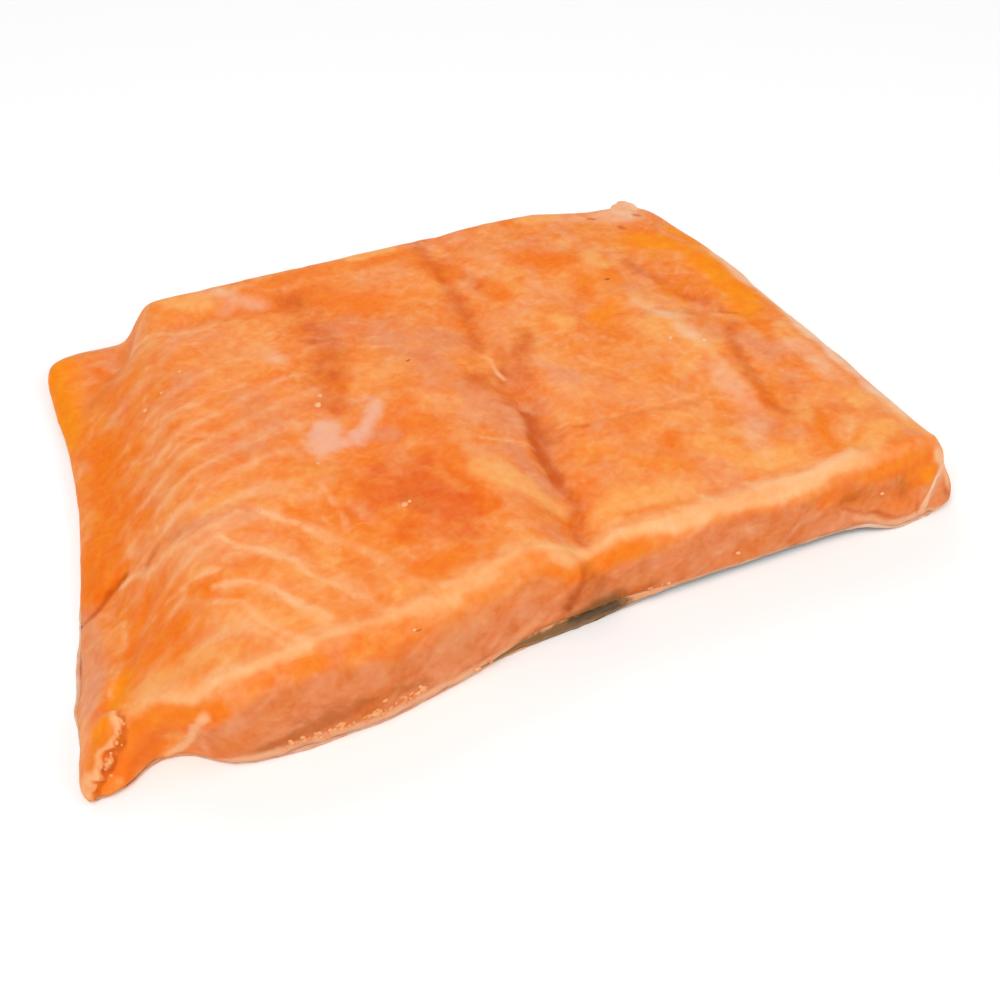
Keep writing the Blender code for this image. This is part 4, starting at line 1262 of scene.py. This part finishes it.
class BodyTree:
    """Geometry Nodes tree that grows lumpy bodies of one finish on a mesh, whose points hold their sizes."""

    SIZES: dict[str, str] = {}
    COMMON = {"Lump height": "Float", "Lump size": "Float", "Finish": "Material"}

    def __init__(self, name: str) -> None:
        """Build the tree with named inputs for its sizes, under a name."""
        self.tree = tree = bpy.data.node_groups.new(name, "GeometryNodeTree")
        for side in ("INPUT", "OUTPUT"):
            tree.interface.new_socket("Geometry", in_out=side, socket_type="NodeSocketGeometry")
        self.keys = {label: tree.interface.new_socket(label, in_out="INPUT", socket_type="NodeSocket" + kind).identifier
                     for label, kind in {**self.SIZES, **self.COMMON}.items()}
        given = add_node(tree, "NodeGroupInput").outputs
        size = add_node(tree, "GeometryNodeInputNamedAttribute", {"Name": "size"}, data_type="FLOAT").outputs[0]
        noise = add_node(tree, NOISE, {"Detail": 2.0}, {"Scale": given["Lump size"]})
        centred = add_node(tree, VECTOR_MATH, {1: (0.5, 0.5, 0.5)}, {0: noise.outputs["Color"]}, operation="SUBTRACT")
        push = add_node(tree, VECTOR_MATH, links={0: centred.outputs[0], 3: given["Lump height"]}, operation="SCALE")
        lumpy = add_node(tree, "GeometryNodeSetPosition",
                         links={0: self.bodies(given, size), "Offset": push.outputs[0]})
        smooth = add_node(tree, "GeometryNodeSetShadeSmooth", links={0: lumpy.outputs[0]})
        real = add_node(tree, "GeometryNodeRealizeInstances", links={0: smooth.outputs[0]})
        dressed = add_node(tree, "GeometryNodeSetMaterial", links={0: real.outputs[0], "Material": given["Finish"]})
        add_node(tree, "NodeGroupOutput", links={0: dressed.outputs[0]})

    def bodies(self, given: bpy.types.NodeOutputs, size: Socket) -> Socket:
        """Add the nodes that make the bodies, and give the socket that they come out of as real geometry."""
        raise NotImplementedError

    def grow(self, name: str, places: Array, sizes: Array, edges: list[tuple[int, int]], finish: Material,
             **inputs: float) -> Piece:
        """Make one piece.

        Args:
            name: name of the piece.
            places: its points in millimetres.
            sizes: radius at each point in millimetres.
            edges: pairs of points that are joined.
            finish: its material.
            **inputs: the tree's other inputs, with an underscore for each space.

        Returns:
            The finished piece.
        """
        mesh = bpy.data.meshes.new(name)
        mesh.from_pydata((places * MM).tolist(), edges, [])
        write_attributes(mesh, size=sizes * MM)
        piece = placed(name, mesh)
        step = piece.modifiers.new("bodies", "NODES")
        step.node_group = self.tree
        for label, value in {"finish": finish, **inputs}.items():
            step[self.keys[label.replace("_", " ").capitalize()]] = value
        return settled(piece)


class ScatterTree(BodyTree):
    """Sets a small body on every point."""

    SIZES = {"Length": "Float", "Flatness": "Float", "Turn": "Float", "Seed": "Int"}

    def bodies(self, given: bpy.types.NodeOutputs, size: Socket) -> Socket:
        """Add the nodes that make the bodies.

        Args:
            given: the tree's inputs.
            size: radius of each body.

        Returns:
            The bodies.
        """
        tree = self.tree
        ball = add_node(tree, "GeometryNodeMeshIcoSphere", {"Radius": 1.0, "Subdivisions": 3})
        length, height = (add_node(tree, MATH, links={0: size, 1: given[label]}, operation="MULTIPLY").outputs[0]
                          for label in ("Length", "Flatness"))
        scale = add_node(tree, "ShaderNodeCombineXYZ", links={0: length, 1: size, 2: height})
        turn = add_node(tree, "FunctionNodeRandomValue", {0: (-1, -1, -1), 1: (1, 1, 1)}, {8: given["Seed"]},
                        data_type="FLOAT_VECTOR")
        angle = add_node(tree, VECTOR_MATH, links={0: turn.outputs[0], 3: given["Turn"]}, operation="SCALE")
        put = add_node(tree, "GeometryNodeInstanceOnPoints", links={
            "Points": given["Geometry"], "Instance": ball.outputs["Mesh"], "Rotation": angle.outputs["Vector"],
            "Scale": scale.outputs["Vector"]})
        # real before the lumps, so that no two bodies get the same ones
        return add_node(tree, "GeometryNodeRealizeInstances", links={0: put.outputs[0]}).outputs[0]


class BeadTree(BodyTree):
    """Runs a round bead along a path."""

    SIZES = {"Sides": "Int"}

    def bodies(self, given: bpy.types.NodeOutputs, size: Socket) -> Socket:
        """Add the nodes that make the bead.

        Args:
            given: the tree's inputs.
            size: radius of the bead at each point.

        Returns:
            The bead.
        """
        line = add_node(self.tree, "GeometryNodeMeshToCurve", links={0: given["Geometry"]}).outputs[0]
        ring = add_node(self.tree, "GeometryNodeCurvePrimitiveCircle", {"Radius": 1.0}, {"Resolution": given["Sides"]})
        return add_node(self.tree, "GeometryNodeCurveToMesh", {"Fill Caps": True},
                        {"Curve": line, "Profile Curve": ring.outputs["Curve"], "Scale": size}).outputs[0]

    def run(self, name: str, path: Array, girths: Array, closed: bool, finish: Material, **inputs: float) -> Piece:
        """Make one bead along a path, which may end where it starts.

        Args:
            name: name of the piece.
            path: places in millimetres.
            girths: radius at each place in millimetres.
            closed: whether the path ends where it starts.
            finish: its material.
            **inputs: the tree's other inputs, with an underscore for each space.

        Returns:
            The finished piece.
        """
        count = len(path)
        edges = [(i, (i + 1) % count) for i in range(count if closed else count - 1)]
        return self.grow(name, path, girths, edges, finish, **inputs)


@dataclass
class Bubbles:
    """Small pale bubbles in the glaze, and the dark specks on the flesh: a place and a radius each."""

    sunk: float = 0.06
    bubbles: Path = (
        (-48.0, 18.4, 11.4, 0.45), (-44.6, 19.1, 13.5, 0.35), (-20.9, 5.3, 15.1, 0.45), (-22.1, 2.9, 15.2, 0.65),
        (-26.8, -11.8, 15.8, 0.40), (-38.7, -19.4, 16.4, 0.40), (-18.1, -27.2, 16.6, 0.55),
        (-17.2, -27.0, 16.6, 0.35), (30.0, -46.7, 5.0, 0.45), (56.0, -47.3, 8.6, 0.40), (41.3, -2.7, 14.4, 0.50),
        (46.5, -5.7, 14.4, 0.50), (-33.7, 16.0, 15.0, 0.30), (-40.5, 22.3, 14.5, 0.30), (-25.6, -50.6, 15.4, 0.28),
    )
    specks: Path = ((39.9, 19.4, 13.8, 0.32), (-4.0, 8.8, 15.3, 0.28), (-25.0, -50.4, 15.0, 0.22))

    def build(self, flesh: Flesh, tree: ScatterTree) -> list[Piece]:
        """Set them half into the flesh's surface.

        Args:
            flesh: the finished flesh.
            tree: what makes the small bodies.

        Returns:
            The bubbles' piece and the specks' one.
        """
        out = []
        for name, rows, finish, length, flat in (("glaze_bubbles", self.bubbles, BUBBLE, 1.0, 0.6),
                                                 ("dark_specks", self.specks, SPECK, 2.4, 0.4)):
            rows = np.array(rows)
            places, _ = flesh.lay_on(rows[:, :3], -self.sunk)
            out.append(tree.grow(name, places, rows[:, 3], [], finish.make(), length=length, flatness=flat, turn=0.4,
                                 lump_height=0.1 * MM, lump_size=1 / (0.7 * MM), seed=3))
        return out


@dataclass
class Crumbs:
    """Crumbly flecks on the lip of the corner flap and low on the near cut.

    Each run has a path, and the number, spread and radius of its flecks.
    """

    runs: tuple[tuple[Path, int, float, float], ...] = (
        (((-66.2, -44.0, 9), (-67.0, -46.2, 7.6), (-68.6, -47.4, 6.0), (-70.6, -48.6, 4.0), (-71.9, -49.6, 2.4)),
         22, 0.35, 0.36),
        (((-45.5, -52.6, 2.4), (-41.2, -52.7, 2.6), (-37.5, -52.8, 3.0), (-32.5, -52.8, 3.1), (-25, -51.8, 3.4)),
         90, 0.6, 0.42),
        (((-17, -50, 1.6), (-11, -48.3, 1.5)), 6, 0.3, 0.4),
        (((12, -47, 3.6), (18, -46.7, 2.8)), 7, 0.3, 0.4),
    )
    step: float = 0.3
    sunk: float = 0.5

    def build(self, flesh: Flesh, tree: ScatterTree) -> Piece:
        """Scatter the flecks round their runs.

        Args:
            flesh: the finished flesh.
            tree: what makes the small bodies.

        Returns:
            The finished piece.
        """
        random = np.random.default_rng(31)
        places, sizes = [], []
        for path, count, spread, size in self.runs:
            line = evenly(np.array(path, float), self.step)
            chosen = line[random.integers(0, len(line), count)]
            places.append(chosen + random.normal(0, spread, (count, 3)))
            sizes.append(size * random.uniform(0.5, 1.2, count))
        sizes = np.concatenate(sizes)
        laid, _ = flesh.lay_on(np.vstack(places), -self.sunk * sizes)
        return tree.grow("salmon_crumbs", laid, sizes, [], CRUMB.make(), length=1.2, flatness=0.8, turn=3.1,
                         lump_height=0.4 * MM, lump_size=1 / (0.8 * MM), seed=7)


@dataclass
class GlazeRim:
    """Thin rim of clear ice round the foot of the portion; wide_at gives x, y, half width and extra girth."""

    step: float = 1.0
    girth: float = 0.2
    uneven: float = 0.14
    uneven_mm: float = 4.0
    girth_span: Place = (0.04, 2.0)
    wide_at: Path = ((58.0, -48.0, 8.0, 0.35), (2.0, -47.5, 9.0, -0.4), (-69.0, -28.0, 9.0, 0.25),
                     (-50.0, 47.0, 6.0, 0.3), (-42.0, -52.5, 9.0, 0.2))
    out_share: float = 0.5
    up_share: float = 0.95

    def build(self, tree: BeadTree) -> Piece:
        """Run a bead of uneven girth round the foot.

        Args:
            tree: what makes the bead.

        Returns:
            The finished piece.
        """
        line = foot_line("salmon_skin")
        path = evenly(np.vstack([line, line[:1]]), self.step)[:-1]
        for _ in range(3):
            path = (np.roll(path, 1, 0) + 2 * path + np.roll(path, -1, 0)) / 4
        girths = self.girth + self.uneven * SmoothNoise(41).layered(path, self.uneven_mm, 2)
        for x, y, half, extra in self.wide_at:
            girths += extra * bell(np.hypot(path[:, 0] - x, path[:, 1] - y), half)
        girths = np.clip(girths, *self.girth_span)
        run = np.roll(path, -1, 0) - np.roll(path, 1, 0)
        side = np.stack([run[:, 1], -run[:, 0]], 1) / np.linalg.norm(run[:, :2], axis=1)[:, None]
        path[:, :2] += np.sign(np.sum(side * path[:, :2])) * side * self.out_share * girths[:, None]
        path[:, 2] += girths * self.up_share
        return tree.run("glaze_rim", path, girths, True, ICE.make(), sides=10,
                        lump_height=0.35 * MM, lump_size=1 / (2.0 * MM))


@dataclass
class Membranes:
    """Thin pale membranes: the ragged tag at the far back corner, and the white line at the near one.

    The tag's outline gives its reach at each angle in degrees. It sticks out in the direction tag_way.
    """

    tag_middle: Place = (55.6, 43.2, 12.4)
    tag_outline: Path = ((-40, 3.2), (-11, 3.8), (17, 3.8), (35, 3.3), (52, 3.3), (87, 2.5), (126, 2.2), (200, 2.4))
    tag_way: float = 76.0
    tag_lift: float = 0.1
    tag_dip: float = 1.2
    ragged: float = 0.15
    wave: float = 0.12
    spokes: int = 64
    rings: int = 14
    thickness: float = 0.3
    line: Path = ((69.2, -45.2, 8.8), (67.8, -46.5, 7.2), (66.4, -47.4, 5.4), (65, -48.1, 3.4), (64.4, -48.2, 2))
    line_girth: float = 0.72
    line_uneven: float = 0.16
    line_sunk: float = 0.42

    def build(self, flesh: Flesh, tree: BeadTree) -> list[Piece]:
        """Make both membranes.

        Args:
            flesh: the finished flesh.
            tree: what makes the bead.

        Returns:
            The tag's piece and the line's one.
        """
        laid, _ = flesh.lay_on(evenly(np.array(self.line, float), 0.5), -self.line_sunk)
        girths = self.line_girth + self.line_uneven * SmoothNoise(51).read(laid, 1.5)
        finish = MEMBRANE.make()
        line = tree.run("white_line", laid, girths, False, finish, sides=10, lump_height=0.3 * MM,
                        lump_size=1 / (1.2 * MM))
        return [self.tag(flesh, finish), line]

    def tag(self, flesh: Flesh, finish: Material) -> Piece:
        """Round sheet that grows out of the flesh and sticks out past its far edge, with a ragged outline.

        Args:
            flesh: the finished flesh.
            finish: its material.

        Returns:
            The finished piece.
        """
        turn = np.linspace(0, 2 * np.pi, self.spokes, endpoint=False)
        round_trip = np.stack([np.cos(turn), np.sin(turn), 0 * turn], 1)
        outline = np.interp(np.degrees(turn), *zip(*self.tag_outline), period=360)
        outline += self.ragged * SmoothNoise(52).layered(3 * round_trip, 1.2, 3)
        share = np.linspace(1, 0, self.rings)[:, None, None]
        spread = (share * outline[:, None] * round_trip).reshape(-1, 3)
        places = spread + np.array(self.tag_middle)
        out = np.array((math.cos(math.radians(self.tag_way)), math.sin(math.radians(self.tag_way)), 0))
        lift = self.tag_lift - self.tag_dip * rise(1.2, -1.0, spread @ out)
        laid, normals = flesh.lay_on(places)
        off = rise(0.0, 0.5, (places - laid) @ out)[:, None]
        lifted = laid + off * (places - laid) + (1 - off) * lift[:, None] * normals
        lifted[:, 2] += self.wave * SmoothNoise(53).layered(places, 2.4, 2)
        faces = []
        for start in range(0, (self.rings - 1) * self.spokes, self.spokes):
            for spoke in range(self.spokes):
                one, after = start + spoke, start + (spoke + 1) % self.spokes
                faces.append((one, after, after + self.spokes, one + self.spokes))
        mesh = bpy.data.meshes.new("membrane_tag")
        mesh.from_pydata((lifted * MM).tolist(), [], faces)
        work = bmesh.new()
        work.from_mesh(mesh)
        bmesh.ops.remove_doubles(work, verts=work.verts, dist=1e-6)
        work.to_mesh(mesh)
        work.free()
        piece = placed("membrane_tag", mesh, finish)
        wall = piece.modifiers.new("thickness", "SOLIDIFY")
        wall.thickness = self.thickness * MM
        wall.offset = 0.0
        return settled(piece, True)


@dataclass
class Studio:
    """Camera, soft lights and a plain pale floor."""

    look_at: Place = (2.96, -15.11, 0.0)
    distance: float = 235.4
    elevation: float = 42.0
    azimuth: float = -23.8
    lens: float = 50.0
    sensor: float = 36.0
    floor_side: float = 6.0
    white: str = "#FFFFFF"
    world_strength: float = 0.36
    floor_glow: float = 0.05
    lights: tuple[tuple[str, Place, float, float], ...] = (
        ("key", (-0.35, -0.35, 0.75), 0.6, 4.6),
        ("fill", (0.6, -0.35, 0.5), 0.6, 1.8),
        ("back", (0.1, 0.7, 0.6), 0.6, 1.6),
    )

    def build(self) -> None:
        """Make the camera, the lights, the world and the floor."""
        scene = bpy.context.scene
        scene.camera = self.camera()
        for name, place, side, power in self.lights:
            data = bpy.data.lights.new(name, "AREA")
            data.size, data.energy = side, power
            self.aimed(data, Vector(place), Vector(place))
        world = bpy.data.worlds.new("studio")
        world.use_nodes = True
        ground = world.node_tree.nodes["Background"].inputs
        ground["Color"].default_value = linear(self.white)
        ground["Strength"].default_value = self.world_strength
        scene.world = world
        scene.view_settings.view_transform = "Standard"
        self.ground()

    def camera(self) -> bpy.types.Object:
        """Put the camera where the photo was taken from.

        Returns:
            The camera.
        """
        turn, tilt = math.radians(self.azimuth), math.radians(self.elevation)
        back = Vector((math.sin(turn) * math.cos(tilt), -math.cos(turn) * math.cos(tilt), math.sin(tilt)))
        data = bpy.data.cameras.new("camera")
        data.lens, data.sensor_width, data.clip_start = self.lens, self.sensor, 0.01
        return self.aimed(data, (Vector(self.look_at) + back * self.distance) * MM, back)

    @staticmethod
    def aimed(data: bpy.types.ID, place: Vector, back: Vector) -> bpy.types.Object:
        """Put a camera or a light at a place in metres, with its back in a direction.

        Args:
            data: the camera's or light's data.
            place: where it stands.
            back: direction from what it faces to itself.

        Returns:
            Its object.
        """
        thing = bpy.data.objects.new(data.name, data)
        thing.location = place
        thing.rotation_euler = (-back).to_track_quat("-Z", "Y").to_euler()
        bpy.context.scene.collection.objects.link(thing)
        return thing

    def ground(self) -> None:
        """Lay the floor just under the portion, of matt white paper that glows a little."""
        half = self.floor_side / 2
        mesh = bpy.data.meshes.new("floor")
        mesh.from_pydata([(-half, -half, 0), (half, -half, 0), (half, half, 0), (-half, half, 0)], [], [(0, 1, 2, 3)])
        made = bpy.data.materials.new("matt_paper_sweep")
        made.use_nodes = True
        white = linear(self.white)
        dress(made, {"Base Color": white, "Roughness": 0.9, "Specular IOR Level": 0.1, "Emission Color": white,
                     "Emission Strength": self.floor_glow})
        placed("floor", mesh, made)


def ride(piece: Piece, slot: str, *nodes: str) -> None:
    """Fix a piece to the body and report it.

    Args:
        piece: finished piece.
        slot: the record's material slot; not used.
        *nodes: CAD nodes that it stands for.
    """
    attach(piece, BODY)
    if nodes:
        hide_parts(*nodes)
    log.info("%s: %d faces, %d triangles", piece.name, len(piece.data.polygons),
             sum(len(face.vertices) - 2 for face in piece.data.polygons))


def main() -> None:
    """Build the pieces in order."""
    logging.basicConfig(level=logging.INFO, format="%(message)s")
    Studio().build()
    flesh = Flesh()
    ride(flesh.build(), "flesh", "salmon_flesh")
    ride(Skin().build(), "skin", "salmon_skin")
    bodies, beads = ScatterTree("small_bodies"), BeadTree("beads")
    for piece in (*Bubbles().build(flesh, bodies), Crumbs().build(flesh, bodies), GlazeRim().build(beads),
                  *Membranes().build(flesh, beads)):
        ride(piece, "flesh")


if __name__ == "__main__":
    main()
